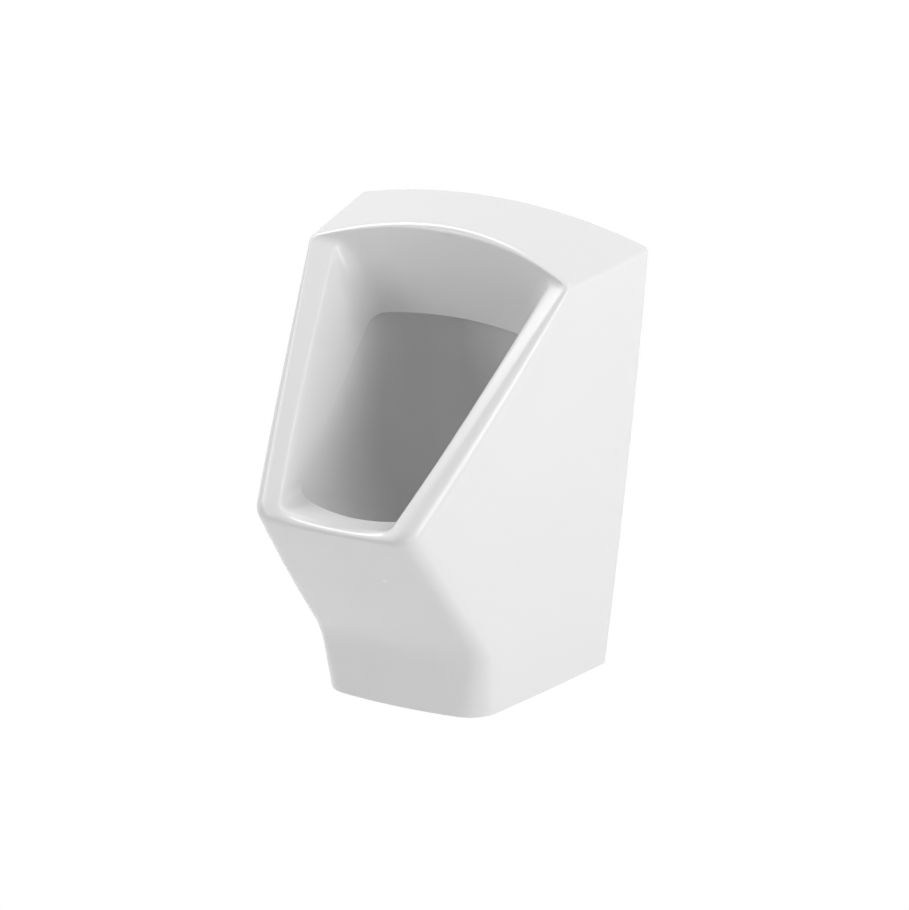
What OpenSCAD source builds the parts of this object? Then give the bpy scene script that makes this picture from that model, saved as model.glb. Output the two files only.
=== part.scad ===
/* [Ceramic body] */
// Height from the foot to the crown of the arched top
body_h = 502; // [480:1:540]
// Rise of the arched top above its corners
crown_rise = 24; // [22:1:34]
// Width across the top at the wall
top_w = 352; // [340:1:370]
// Width across the foot at the wall
foot_w = 248; // [240:1:256]
// Bow of each wall edge between foot and top
edge_bow = 2.7; // [0:0.1:6]
// Narrowing of each side for each unit of depth
side_taper_share = 0.103; // [0.09:0.001:0.11]
// Radius of each side's sweep in plan
side_sweep_r = 3165; // [2900:5:4000]
// Depth of the mouth at the crown
crown_d = 110; // [104:1:118]
// Depth of the lip
lip_d = 366; // [360:1:376]
// Height of the lip
lip_h = 246; // [242:1:256]
// Depth of the front at the kick, where the face turns into the skirt
kick_d = 218; // [214:1:222]
// Height of the kick
kick_h = 66; // [56:1:74]
// Depth of the skirt at the foot, at its corners
foot_d = 213; // [210:1:216]
// Forward bow of the skirt at the foot
foot_bow = 9; // [4:0.5:12]
// Forward bow of the face at the lip
lip_bow = 1; // [0:0.5:4]
// Rounding of the skirt's front corners, along each face
foot_corner = 24; // [18:1:30]
// Rounding of the lip's corners, along each face
lip_corner = 19; // [12:1:24]
// Rounding of the front corners halfway up the face, along each face
face_corner = 14; // [12:1:20]
// Rounding of the crease between top and side, along each face
top_corner = 6; // [5:0.5:9]
// Rounding of the kick, along each face
kick_soft = 24; // [12:1:32]
// Wall thickness of the casting
wall_t = 11; // [9:0.5:12]
// Width of the flange that meets the wall
flange_w = 14; // [12:0.5:18]

/* [Mouth and rim] */
// Width of the rim band at each side of the mouth
rim_w = 28; // [26:0.5:29]
// Drop of the band under the crown
crown_land = 12; // [10:0.5:13]
// Drop of the band under the mouth's top corners
corner_land = 10; // [8:0.5:11]
// Width of the band behind the lip's ridge
lip_land = 22; // [20:0.5:24]
// Fall of the arched top towards the front, at its corners
corner_fall = 4.5; // [3:0.5:6]
// Rounding of the rim along the sides and the lip
rim_round = 14; // [12:0.5:15]
// Rounding of the crown's ridge
crown_round = 8; // [6:0.5:9]
// Rounding of the rim at the top corners
corner_round = 7; // [6:0.5:8]
// Rounding of the band's lower corners, along each side
band_corner = 8; // [6:0.5:12]
// Rounding between the rim band and the funnel
band_soft = 6; // [3:0.5:7]
// Rounding of the funnel's inner edge
edge_round = 3; // [2:0.25:3.5]
// Width of the inner edge between its top corners
throat_top_w = 212; // [200:1:220]
// Width of the inner edge between its bottom corners
throat_low_w = 156; // [148:1:160]
// Depth of the inner edge under the hood
hood_d = 81; // [78:1:86]
// Drop from the crown to the inner edge under the hood
hood_drop = 111; // [106:1:116]
// Depth of the inner edge behind the lip
sill_d = 311; // [306:1:314]
// Height of the inner edge behind the lip
sill_h = 241; // [238:1:244]
// Rounding of the inner edge's corners, along each side
throat_corner = 15; // [10:1:18]
// How far the bowl steps out behind the inner edge
undercut = 12; // [8:0.5:14]

/* [Bowl] */
// Depth of the bowl's back, from the wall
bowl_back_d = 26; // [25:0.5:30]
// Drop from the crown to the pocket's roof behind the hood
pocket_drop = 73; // [68:1:77]
// Height of the bowl's floor
floor_h = 168; // [164:1:172]
// Depth of the outlet's axis
drain_d = 125; // [120:1:130]
// Radius of the level ring round the outlet
drain_ring_r = 48; // [46:0.5:52]

/* [Wall fixing] */
// Drop from the crown to the centre of the wall fixings
hang_drop = 118; // [116:1:120]
// Gap between the flange and each bracket, at the bracket's lower end
bracket_gap = 2.6; // [2:0.1:3]
// Distance up between the fixings
fixing_dz = 32; // [30:1:34]
// Radius of each wall plug
plug_r = 5; // [4.5:0.25:5.5]
// Length of each wall plug
plug_len = 50; // [48:1:60]
// Radius of each screw's shank
screw_r = 3; // [2.5:0.25:3.25]
// Length of each screw below its head
screw_len = 48; // [40:1:48]
// Radius of each screw's head
head_r = 5.5; // [5:0.25:6]
// Height of each screw's head
head_h = 3.5; // [3:0.25:4]
// Radius of each washer under a head
washer_r = 7.5; // [7:0.25:8]
// Thickness of each washer
washer_t = 1; // [0.8:0.1:1.5]
// Thickness of the brackets' steel
steel_t = 3; // [2:0.25:3]
// Width of each bracket
bracket_w = 24; // [22:1:25]
// Length of bracket past its lower fixing
bracket_end = 14; // [12:1:16]
// Height of the hook's shelf above the fixings' centre
shelf_up = 33; // [32:0.5:35]
// Height of the hook's tongue
tongue_h = 14; // [12:0.5:16]
// Thickness of the ceramic rib on the hook
rib_t = 11; // [10:0.5:12]
// Height of the ceramic rib
rib_h = 26; // [22:1:28]
// Gap between the rib and the bracket's plate
rib_gap = 2; // [1:0.25:2]
// Thickness of the buffer on each hook
buffer_t = 1.5; // [1:0.25:2]

/* [Outlet] */
// Radius of the hole in the bowl's floor
drain_hole_r = 26; // [25.5:0.25:27]
// Radius of the seat round the hole
seat_r = 38; // [37:0.25:40]
// Thickness of the flat gaskets
gasket_t = 2; // [1.5:0.25:2.5]
// Thickness of the waste's flange
waste_flange_t = 3; // [2.5:0.25:3]
// Outer radius of the waste's spigot
waste_r = 24; // [23.5:0.25:24.5]
// Wall thickness of the waste's spigot
waste_wall = 3; // [2.5:0.25:3.5]
// Length of the waste's spigot below its flange
waste_len = 37; // [36:0.5:38]
// Radius across the back-nut's corners
backnut_r = 36; // [35:0.5:38]
// Height of the back-nut
backnut_h = 9; // [8:0.5:10]
// Radius of the strainer's plate
strainer_r = 30; // [28:0.5:31]
// Thickness of the strainer
strainer_t = 2; // [1.5:0.25:2.5]
// Rise of the strainer's dome
strainer_rise = 5; // [4:0.5:7]
// Depth of the strainer's collar in the waste
collar_dp = 9; // [6:0.5:12]
// Radius of each hole in the strainer
strainer_hole_r = 2; // [1.5:0.25:2.25]
// Number of holes in the strainer's outer ring
strainer_holes = 12; // [8:1:14]

/* [Trap] */
// Outer radius of the trap's inlet tube
dip_r = 17; // [16:0.25:17.5]
// Height of the lower end of the inlet tube
dip_end_h = 16; // [14:0.5:20]
// Wall thickness of the trap's plastic
trap_wall = 2.5; // [2:0.25:2.75]
// Outer radius of the trap's bottle
bottle_r = 38; // [37:0.5:40]
// Height of the bottle's shoulder
bottle_top = 96; // [95:0.5:96.5]
// Height of the bottle's lower edge
bottle_low = 30; // [28:0.5:31]
// Chamfer of the bottle's shoulder
shoulder_c = 5; // [3:0.5:7]
// Wall thickness of the bottle's neck
neck_wall = 6; // [5:0.25:7]
// Height of the bottle's neck
neck_h = 12; // [11.5:0.25:12.5]
// Height of the cup's underside
cup_low = 8; // [6:0.5:9]
// Wall thickness of the cup round the bottle
cup_wall = 4; // [3:0.25:5]
// Length of thread between bottle and cup
cup_grip = 10; // [8:0.5:11]
// Pitch of the cup's thread
cup_pitch = 4; // [3:0.25:5]
// Number of grips round the cup
cup_grips = 16; // [12:1:20]
// Height of the outlet's axis
outlet_h = 72; // [70:0.5:72]
// Outer radius of the outlet pipe
outlet_r = 16; // [15:0.25:16]
// Wall thickness of the bottle's outlet socket
socket_wall = 3.5; // [3:0.25:4]
// Reach of the outlet socket from the bottle's axis
socket_reach = 63; // [60:0.5:66]
// Length of pipe inside the socket
pipe_in = 14; // [12:0.5:16]
// Length of the pipe past the wall's face
outlet_past = 62; // [50:1:80]
// Thickness of the unions' seals
seal_t = 3; // [2.5:0.25:3]
// Wall thickness of the union nuts
nut_wall = 5; // [4:0.25:6]
// Length of thread in the union nuts
nut_grip = 9; // [8:0.25:9.5]
// Thickness of the union nuts' ledge
nut_ledge = 4; // [3:0.25:4]
// Radius of the rubber ring at the wall
wall_ring_r = 30; // [26:0.5:34]
// Thickness of the rubber ring at the wall
wall_ring_t = 5; // [4:0.25:7]

/* [Inlet] */
// Drop from the crown to the inlet's axis
inlet_drop = 101; // [100:0.5:102]
// Radius of the inlet's thread
inlet_r = 10.5; // [10:0.25:11]
// Bore of the inlet
inlet_bore_r = 7; // [6:0.25:8]
// Radius of the hole in the ceramic
inlet_hole_r = 12.5; // [12:0.25:13]
// Radius of the ceramic boss round the hole
boss_r = 21; // [20:0.5:22]
// Depth of the boss's rear face
boss_rear_d = 12; // [11.5:0.5:13]
// Depth of the boss's front face
boss_front_d = 38; // [36:0.5:40]
// Radius of the inlet's flange
inlet_flange_r = 19; // [18:0.5:20]
// Thickness of the inlet's flange
inlet_flange_t = 3; // [2.5:0.25:3.5]
// Thickness of the inlet's nut
inlet_nut_t = 8; // [7:0.25:9]
// Length of the inlet past the wall's face
inlet_past = 32; // [25:1:40]
// Radius of the spreader
spreader_r = 13.5; // [13.25:0.25:14]
// Length of the spreader
spreader_len = 12; // [11:0.5:12.5]
// Number of slots in the spreader
spreader_slots = 5; // [3:1:6]

/* [Hidden] */
// Steps round the ceramic's half loop: face, corner, side along the foot, side along the wall, crease, crown
face_n = 4;
corner_n = 4;
heel_n = 4;
edge_n = 9;
crease_n = 3;
crown_n = 7;
// Share of the side's run at which it turns from the foot to the wall
heel_share = 0.3;
// Shares of each spoke at which a ring lies between wall and rim
skin_shares = [0, 0.08, 0.15, 0.19, 0.23, 0.27, 0.33, 0.45, 0.6, 0.75, 0.88];
// Shares at which a ring lies on the hidden side of the outer wall
lining_shares = [0.06, 0.15, 0.2, 0.25, 0.33, 0.48, 0.66, 0.84];
// How full a rounded corner is between its two tangents
full_share = 0.58;
// Small overrun of a cut past the face it cuts
over = 1;
// Step used to measure a spoke's length
probe_share = 0.02;

// Clearances
seat_gap = 0.5;
thread_gap = 0.1;
slide_gap = 0.4;
screw_gap = 0.3;

// Heights that follow the crown, and the fixings that follow the width
corner_h = body_h - crown_rise;
hood_h = body_h - hood_drop;
pocket_h = body_h - pocket_drop;
hang_h = body_h - hang_drop;
inlet_h = body_h - inlet_drop;
bracket_low = hang_h - fixing_dz / 2 - bracket_end;
fixing_dx = 2 * (wall_hw(bracket_low) - flange_w - bracket_gap) - bracket_w;

// Heights of the outlet's stack, from the bowl's floor down to the trap
seat_dp = gasket_t + waste_flange_t;
seat_low = floor_h - seat_dp;
boss_low = seat_low - wall_t;
spigot_low = floor_h - waste_flange_t - waste_len;
tube_top = spigot_low - seal_t;
neck_r = dip_r + neck_wall;
neck_top = bottle_top + neck_h;
socket_r = outlet_r + socket_wall;
cup_top = bottle_low + cup_grip;
cup_in_r = bottle_r + thread_gap;
// Depths of the inlet's stack, from the wall to the front
inlet_flange_d = boss_rear_d - gasket_t - inlet_flange_t;
inlet_nut_d = boss_front_d + washer_t;
spreader_d = inlet_nut_d + inlet_nut_t + washer_t;
inlet_end_d = spreader_d + spreader_len * 0.6;
// Depths of the hook
rib_d = steel_t + rib_gap;
tongue_d = rib_d + rib_t + slide_gap;

// Outline values worked out from the driving ones
mouth_slope = (body_h - lip_h) / (lip_d - crown_d);
rim_corner_h = corner_h - corner_fall;
corner_d = crown_d + (body_h - rim_corner_h) / mouth_slope;
mouth_dir = [-1, mouth_slope] / norm([1, mouth_slope]);
kick_share = kick_h / (kick_h + norm([lip_d - kick_d, lip_h - kick_h]));

function mix(a, b, t) = a + (b - a) * t;
function unit(v) = v / norm(v);
function curve2(a, b, c, t) = mix(mix(a, b, t), mix(b, c, t), t);
function curve3(a, b, c, d, t) = mix(curve2(a, b, c, t), curve2(b, c, d, t), t);
// A rounded corner from a to b with its sharp point at k
function rounded(a, k, b, t) = curve3(a, mix(a, k, full_share), mix(b, k, full_share), b, t);

// Half-width of the body at the wall, at a height
function wall_hw(z) =
    let (t = z / corner_h) mix(foot_w, top_w, t) / 2 + edge_bow * 4 * t * (1 - t);
// Half-width of the body at a depth and a height
function side_x(d, z) = wall_hw(z) - side_taper_share * d - d * d / (2 * side_sweep_r);

// Depth and height of the front's edge from foot (0) to lip (1), set in by g
lip_in = [lip_d, lip_h];
face_dir = unit([lip_d - kick_d, lip_h - kick_h]);
face_in = [-face_dir[1], face_dir[0]];
function kick_in(g) = [kick_d - g, kick_h + g * (face_in[1] - (1 + face_in[0]) * face_dir[1] / face_dir[0])];
function front_knots(g) = [[foot_d - g, 0], kick_in(g), lip_in + g * face_in];
function front_path(u, g) =
    let (
        k = front_knots(g),
        s = kick_soft / norm(k[2] - k[1]) * (1 - kick_share),
        a = mix(k[0], k[1], (kick_share - s) / kick_share),
        b = mix(k[1], k[2], s / (1 - kick_share))
    )
    u < kick_share - s ? mix(k[0], k[1], u / kick_share)
    : u > kick_share + s ? mix(k[1], k[2], (u - kick_share) / (1 - kick_share))
    : curve2(a, k[1], b, (u - kick_share + s) / (2 * s));
function front_corner(u) =
    mix(foot_corner, lip_corner, u) - 4 * u * (1 - u) * ((foot_corner + lip_corner) / 2 - face_corner);

// The face, from the centre (0) to the start of the corner (1)
function face_pt(u, s, g) =
    let (
        p = front_path(u, g),
        hw = side_x(p[0], p[1]) - g,
        q = s * (1 - front_corner(u) / hw)
    )
    [q * hw, p[0] + mix(foot_bow, lip_bow, u) * (1 - q * q), p[1]];

// The side, as a patch of depths and heights between foot, wall, crease and rim
function side_start(u, g) = front_path(u, g) + front_corner(u) * unit(mix([-1, 0], mouth_dir, u));
function crease_h(u) = corner_h - u * corner_fall;
function side_end(u, g) =
    [u * corner_d, crease_h(u) - g] - top_corner * unit(mix([0, 1], mouth_dir, u));
function heel_path(t, g) =
    t < heel_share ? mix(side_start(0, g), [0, 0], t / heel_share)
    : mix([0, 0], side_end(0, g), (t - heel_share) / (1 - heel_share));
function side_dz(u, t, g) =
    mix(heel_path(t, g), mix(side_start(1, g), side_end(1, g), t), u)
    + mix(side_start(u, g), side_end(u, g), t)
    - mix(
        mix(side_start(0, g), side_end(0, g), t),
        mix(side_start(1, g), side_end(1, g), t), u
    );
function side_pt(u, t, g) =
    let (p = side_dz(u, t, g)) [side_x(p[0], p[1]) - g, p[0], p[1]];

// The arched top, from the crease (0) to the crown (1)
function top_pt(u, t, g) =
    let (
        hw = side_x(u * corner_d, crease_h(u)) - g,
        q = (1 - t) * (1 - top_corner / hw),
        d = u * mix(crown_d, corner_d, q * q)
    )
    [q * (side_x(d, crease_h(u)) - g), d, mix(body_h, crease_h(u), q * q) - g];

// A spoke is a piece of the half loop and how far along that piece it lies
FACE = 0;
CORNER = 1;
SIDE = 2;
CREASE = 3;
TOP = 4;
function skin(u, spoke, g = 0) =
    let (kind = spoke[0], t = spoke[1], f = front_path(u, g))
    kind == FACE ? face_pt(u, t, g)
    : kind == CORNER
    ? rounded(face_pt(u, 1, g), [side_x(f[0], f[1]) - g, f[0], f[1]], side_pt(u, 0, g), t)
    : kind == SIDE ? side_pt(u, t, g)
    : kind == CREASE
    ? rounded(
        side_pt(u, 1, g),
        [side_x(u * corner_d, crease_h(u)) - g, u * corner_d, crease_h(u) - g],
        top_pt(u, 0, g), t
    )
    : top_pt(u, t, g);

spokes = concat(
    [for (j = [0:face_n - 1]) [FACE, j / face_n]],
    [for (j = [0:corner_n]) [CORNER, j / corner_n]],
    [for (j = [1:heel_n]) [SIDE, heel_share * j / heel_n]],
    [for (j = [1:edge_n - 1]) [SIDE, mix(heel_share, 1, j / edge_n)]],
    [for (j = [0:crease_n]) [CREASE, j / crease_n]],
    [for (j = [1:crown_n]) [TOP, j / crown_n]]
);
spoke_n = len(spokes);
// How much a spoke belongs to the crown, and to the lip
function crown_part(s) = s[0] == TOP ? 1 : s[0] == CREASE ? s[1] : 0;
function lip_part(s) = s[0] == FACE ? 1 : s[0] == CORNER ? 1 - s[1] : 0;

// A loop inside the mouth: [centre below, corner below, corner above, centre above, roundings, bow]
function loop_side(r, t) =
    let (run = norm(r[2] - r[1]), q = mix(r[4][0] / run, 1 - r[4][1] / run, t))
    mix(r[1], r[2], q) + [r[5] * 4 * q * (1 - q), 0, 0];
function loop_end(centre, corner, q) =
    [q * corner[0], mix(corner[1], centre[1], 1 - q * q), mix(corner[2], centre[2], 1 - q * q)];
function loop_low(r, t) = loop_end(r[0], r[1], t * (1 - r[4][0] / r[1][0]));
function loop_high(r, t) = loop_end(r[3], r[2], (1 - t) * (1 - r[4][1] / r[2][0]));
function loop_pt(r, spoke) =
    let (kind = spoke[0], t = spoke[1])
    kind == FACE ? loop_low(r, t)
    : kind == CORNER ? rounded(loop_low(r, 1), r[1], loop_side(r, 0), t)
    : kind == SIDE ? loop_side(r, t)
    : kind == CREASE ? rounded(loop_side(r, 1), r[2], loop_high(r, 0), t)
    : loop_high(r, t);

lip_hw = side_x(lip_d, lip_h);
corner_hw = side_x(corner_d, rim_corner_h);
mid_hw = side_x((lip_d + corner_d) / 2, (lip_h + rim_corner_h) / 2);
// Where the band's top corner lies under the rim's arched line
land_share = (1 - rim_w / corner_hw) ^ 2;
land_d = mix(crown_d, corner_d, land_share);
land_h = mix(body_h, rim_corner_h, land_share);
// How far the band's lower corners lie behind and above the lip, and the hood's edge falls to its own
dish_in = 9;
dish_up = 7;
hood_fall = 8;
sill_rise = 9;
hood_swing = 12;
sill_swing = 14;
band_loop = [
    [0, lip_d - lip_land, lip_h - 0.1 * lip_land],
    [lip_hw - rim_w, lip_d - dish_in, lip_h + dish_up],
    [corner_hw - rim_w, land_d - 0.25 * corner_land, land_h - corner_land],
    [0, crown_d - 0.25 * crown_land, body_h - crown_land],
    [band_corner, band_corner], mid_hw - (lip_hw + corner_hw) / 2
];
edge_loop = [
    [0, sill_d, sill_h],
    [throat_low_w / 2, sill_d - sill_swing, sill_h + sill_rise],
    [throat_top_w / 2, hood_d + hood_swing, hood_h - hood_fall],
    [0, hood_d, hood_h],
    [throat_corner, throat_corner], 0
];

// Halfway down the funnel its corners are filled out softly
funnel_corner = [22, 60];
funnel_loop = concat(
    [for (j = [0:3]) mix(band_loop[j], edge_loop[j], 1 / 2)],
    [funnel_corner, 0]
);

// Loops that shape the bowl behind the inner edge, down to its floor, as shares of the bowl's spans:
// low centre forward and up, low corner out, forward and up, high corner out, back and up,
// high centre back and up, the two roundings, bow
step_loop = [
    [0, sill_d + undercut / 2, sill_h - undercut / 3],
    edge_loop[1] + [undercut, undercut / 4, -undercut / 3],
    edge_loop[2] + [undercut, -undercut, 0],
    [0, hood_d - undercut / 2, hood_h + undercut],
    [throat_corner, throat_corner] * 1.5, 0
];
shoulder_shares = [0.97, 0.75, 0.85, 0.86, 0.8, 1.06, 0.25, 0.92, 0.43, 1, 0.25, 0.38, 0];
back_shares = [0.86, 0.4, 0.79, 0.74, 0.46, 0.91, 0.06, 0.86, -0.01, 1, 0.32, 0.49, 0.08];
belly_shares = [0.69, 0.17, 0.74, 0.54, 0.19, 0.83, 0.04, 0.39, -0.02, 0.5, 0.47, 0.57, 0.13];
floor_shares = [0.45, 0.06, 0.57, 0.3, 0.07, 0.62, 0.3, 0.05, 0.05, 0.06, 0.47, 0.53, 0.11];
function bowl_loop(s) =
    let (half = throat_top_w / 2)
    [
        [0, mix(drain_d, sill_d, s[0]), mix(floor_h, sill_h, s[1])],
        [s[2] * half, mix(drain_d, sill_d, s[3]), mix(floor_h, sill_h, s[4])],
        [s[5] * half, mix(bowl_back_d, drain_d, s[6]), mix(floor_h, pocket_h, s[7])],
        [0, mix(bowl_back_d, drain_d, s[8]), mix(floor_h, pocket_h, s[9])],
        [s[10] * half, s[11] * half], s[12] * half
    ];
shoulder_loop = bowl_loop(shoulder_shares);
back_loop = bowl_loop(back_shares);
belly_loop = bowl_loop(belly_shares);
bowl_floor_loop = bowl_loop(floor_shares);

function drain_pt(spoke) =
    let (p = loop_pt(bowl_floor_loop, spoke), c = [0, drain_d, floor_h], v = [p[0], p[1] - drain_d, 0])
    c + drain_ring_r * unit(v);

// The sharp line of the rim and the points where its rounding starts and ends
function rim_r(s) =
    s[0] == TOP ? mix(crown_round, corner_round, (1 - s[1]) ^ 8)
    : s[0] == CREASE ? corner_round
    : s[0] == SIDE ? mix(rim_round, corner_round, s[1] ^ 3)
    : rim_round;
function rim_share(s) =
    let (speed = norm(skin(1, s) - skin(1 - probe_share, s)) / probe_share) 1 - rim_r(s) / speed;
function soft_r(s) = mix(mix(band_soft, band_soft * 0.8, lip_part(s)), crown_land * 0.25, crown_part(s));
round_shares = [0.25, 0.5, 0.75, 1];
funnel_shares = [0.25, 0.5, 0.75];
chain_shares = [0.33, 0.67, 1];

// A smooth run through a list of control points, as joined quadratic arcs
function chain_pt(c, j, t) =
    curve2(
        j == 0 ? c[0] : (c[j] + c[j + 1]) / 2,
        c[j + 1],
        j == len(c) - 3 ? c[len(c) - 1] : (c[j + 1] + c[j + 2]) / 2, t
    );
function chain(c, shares) = [for (j = [0:len(c) - 3], t = shares) chain_pt(c, j, t)];

// One spoke of the glazed side, from the wall over the rim to the outlet
function front_spoke(s) =
    let (
        e = rim_share(s), v = skin(1, s), pa = skin(e, s),
        i = loop_pt(band_loop, s), k = loop_pt(edge_loop, s), a = loop_pt(step_loop, s),
        m = loop_pt(funnel_loop, s),
        pb = v + rim_r(s) * unit(i - v),
        ia = i + soft_r(s) * unit(v - i), ib = i + soft_r(s) * unit(m - i),
        ka = k + edge_round * unit(m - k), kc = k + edge_round * unit(a - k)
    )
    concat(
        [for (w = skin_shares) skin(w * e, s)],
        [pa], [for (t = round_shares) rounded(pa, v, pb, t)],
        [for (t = [0, 0.5, 1]) curve2(ia, i, ib, t)],
        [for (t = funnel_shares) curve2(ib, m, ka, t)],
        [for (t = [0, 0.5, 1]) curve2(ka, k, kc, t)],
        chain([
            kc, a, loop_pt(shoulder_loop, s), loop_pt(back_loop, s),
            loop_pt(belly_loop, s), loop_pt(bowl_floor_loop, s), drain_pt(s)
        ], chain_shares)
    );
half_front = [for (s = spokes) front_spoke(s)];
ring_n = len(half_front[0]);
funnel_ring = len(skin_shares) + 1 + len(round_shares) + 3 + len(funnel_shares) - 1;
bowl_ring = funnel_ring + 4;

function flip(p) = [-p[0], p[1], p[2]];
// A whole loop from the points of its right half
function whole(half) =
    concat(half, [for (i = [len(half) - 2:-1:1]) flip(half[i])]);
front_rings = [for (k = [0:ring_n - 1]) whole([for (i = [0:spoke_n - 1]) half_front[i][k]])];
loop_n = len(front_rings[0]);

// The same ring moved by g to the hidden side of the wall
function hidden_ring(k, g) = [
    for (i = [0:loop_n - 1])
        let (
            along = front_rings[min(k + 1, ring_n - 1)][i] - front_rings[k - 1][i],
            across = front_rings[k][(i + 1) % loop_n] - front_rings[k][(i + loop_n - 1) % loop_n]
        )
        front_rings[k][i] + g * unit(cross(across, along))
];
hidden_ks = [for (k = [bowl_ring + 2:ring_n - 2]) k];
hidden_rings = concat(
    [whole([for (s = spokes) skin(0, s, flange_w)])],
    [for (w = lining_shares) whole([for (s = spokes) skin(w * rim_share(s), s, wall_t)])],
    [hidden_ring(funnel_ring, wall_t)],
    [for (k = hidden_ks) hidden_ring(k, wall_t)],
    [[for (p = front_rings[ring_n - 1]) p - [0, 0, wall_t]]]
);

// Depth and height become the row's own Y and Z
function placed(p) = [p[0], -p[1], p[2] - hang_h];

function strip(k, n) = [
    for (i = [0:n - 1], f = [0, 1])
        let (j = (i + 1) % n, a = k * n + i, b = k * n + j, c = a + n, d = b + n)
        f == 0 ? [a, b, c] : [b, d, c]
];

// The casting as one closed skin of loops: from the outlet over bowl, rim and outer wall, and back inside
module casting() {
    glazed = [for (k = [ring_n - 1:-1:0]) front_rings[k]];
    rings = concat(glazed, hidden_rings);
    n = loop_n;
    total = len(rings);
    top_c = [0, drain_d, floor_h];
    points = concat(
        [for (r = rings, p = r) placed(p)],
        [placed(top_c), placed(top_c - [0, 0, wall_t])]
    );
    faces = concat(
        [for (k = [0:total - 2]) each strip(k, n)],
        [for (i = [0:n - 1]) [(i + 1) % n, i, total * n]],
        [for (i = [0:n - 1]) [(total - 1) * n + i, (total - 1) * n + (i + 1) % n, total * n + 1]]
    );
    polyhedron(points, faces, convexity = 12);
}

$fn = 96;

// Places children at a depth and a height, upright or along the depth
module at(d, h, x = 0) { translate([x, -d, h - hang_h]) children(); }
module to_front() { rotate([90, 0, 0]) children(); }
module to_wall() { rotate([-90, 0, 0]) children(); }
module ring(r, bore, h, sides = $fn) {
    difference() {
        cylinder(r = r, h = h, $fn = sides);
        translate([0, 0, -over]) cylinder(r = bore, h = h + 2 * over);
    }
}
// A union nut, its ledge below and its thread above
module union_nut(thread, pipe, held) {
    deep = held + nut_grip;
    difference() {
        cylinder(r = (thread + nut_wall) / cos(180 / 12), h = nut_ledge + deep, $fn = 12);
        translate([0, 0, -over]) cylinder(r = pipe + slide_gap, h = nut_ledge + 2 * over);
        translate([0, 0, nut_ledge]) cylinder(r = thread + thread_gap, h = deep + over);
    }
}

module rib(side) {
    inner = fixing_dx / 2 - bracket_w / 2 - rib_gap;
    low = hang_h + shelf_up + buffer_t;
    outer = side_x(rib_d + rib_t, low) - wall_t / 2;
    at(rib_d + rib_t, low, side > 0 ? inner : -outer) cube([outer - inner, rib_t, rib_h]);
}
module ceramic_body() {
    color([0.95, 0.95, 0.94]) difference() {
        union() {
            casting();
            at(drain_d, boss_low) cylinder(r = seat_r + wall_t / 2, h = seat_dp + wall_t / 2);
            at(boss_rear_d, inlet_h) to_front() cylinder(r = boss_r, h = boss_front_d - boss_rear_d);
            rib(1);
            rib(-1);
        }
        at(drain_d, seat_low) cylinder(r = seat_r, h = seat_dp + over);
        at(drain_d, boss_low - over) cylinder(r = drain_hole_r, h = wall_t + 2 * over);
        at(boss_rear_d - over, inlet_h) to_front()
            cylinder(r = inlet_hole_r, h = boss_front_d - boss_rear_d + 2 * over);
    }
}

module outlet_strainer() {
    collar_r = waste_r - waste_wall - slide_gap;
    dome_r = collar_r - strainer_t;
    dome_shares = [1, 0.85, 0.7, 0.5, 0.3, 0];
    color([0.8, 0.81, 0.83]) at(drain_d, floor_h) difference() {
        rotate_extrude() polygon(concat(
            [[dome_r, -collar_dp], [collar_r, -collar_dp], [collar_r, 0], [strainer_r, 0]],
            [[strainer_r, strainer_t / 2], [strainer_r - strainer_t / 2, strainer_t]],
            [for (q = dome_shares) [q * collar_r, strainer_t + strainer_rise * (1 - q * q)]],
            [for (i = [len(dome_shares) - 1:-1:0])
                let (q = dome_shares[i]) [q * dome_r, strainer_rise * (1 - q * q)]]
        ));
        for (i = [0:strainer_holes - 1])
            rotate(i * 360 / strainer_holes) translate([dome_r * 0.75, 0, -over])
                cylinder(r = strainer_hole_r, h = strainer_t + strainer_rise + 2 * over);
        for (i = [0:strainer_holes / 2 - 1])
            rotate(i * 720 / strainer_holes) translate([dome_r * 0.38, 0, -over])
                cylinder(r = strainer_hole_r, h = strainer_t + strainer_rise + 2 * over);
    }
}

module waste_flange() {
    color([0.8, 0.81, 0.83]) at(drain_d, floor_h - waste_flange_t) difference() {
        union() {
            cylinder(r = seat_r - seat_gap, h = waste_flange_t);
            translate([0, 0, -waste_len]) cylinder(r = waste_r, h = waste_len + over);
        }
        translate([0, 0, -waste_len - over])
            cylinder(r = waste_r - waste_wall, h = waste_len + waste_flange_t + 2 * over);
    }
}
module waste_top_gasket() {
    color([0.12, 0.12, 0.13]) at(drain_d, seat_low) ring(seat_r - seat_gap, drain_hole_r, gasket_t);
}
module waste_bottom_gasket() {
    color([0.12, 0.12, 0.13]) at(drain_d, boss_low - gasket_t)
        ring(backnut_r * cos(30), waste_r + thread_gap, gasket_t);
}
module waste_backnut() {
    color([0.85, 0.86, 0.87]) at(drain_d, boss_low - gasket_t - backnut_h)
        ring(backnut_r, waste_r + thread_gap, backnut_h, 6);
}

module trap_inlet_nut() {
    color([0.9, 0.91, 0.91]) at(drain_d, tube_top - trap_wall - nut_ledge)
        union_nut(waste_r, dip_r, trap_wall + seal_t);
}
module trap_inlet_seal() {
    color([0.12, 0.12, 0.13]) at(drain_d, tube_top) ring(waste_r, waste_r - waste_wall, seal_t);
}
module trap_inlet_tube() {
    color([0.92, 0.93, 0.93]) at(drain_d, dip_end_h) difference() {
        union() {
            cylinder(r = dip_r, h = tube_top - dip_end_h);
            translate([0, 0, tube_top - trap_wall - dip_end_h]) cylinder(r = waste_r, h = trap_wall);
        }
        translate([0, 0, -over]) cylinder(r = dip_r - trap_wall, h = tube_top - dip_end_h + 2 * over);
    }
}
module trap_top_nut() {
    color([0.9, 0.91, 0.91]) at(drain_d, neck_top + seal_t + nut_ledge) mirror([0, 0, 1])
        union_nut(neck_r, dip_r, seal_t);
}
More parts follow.
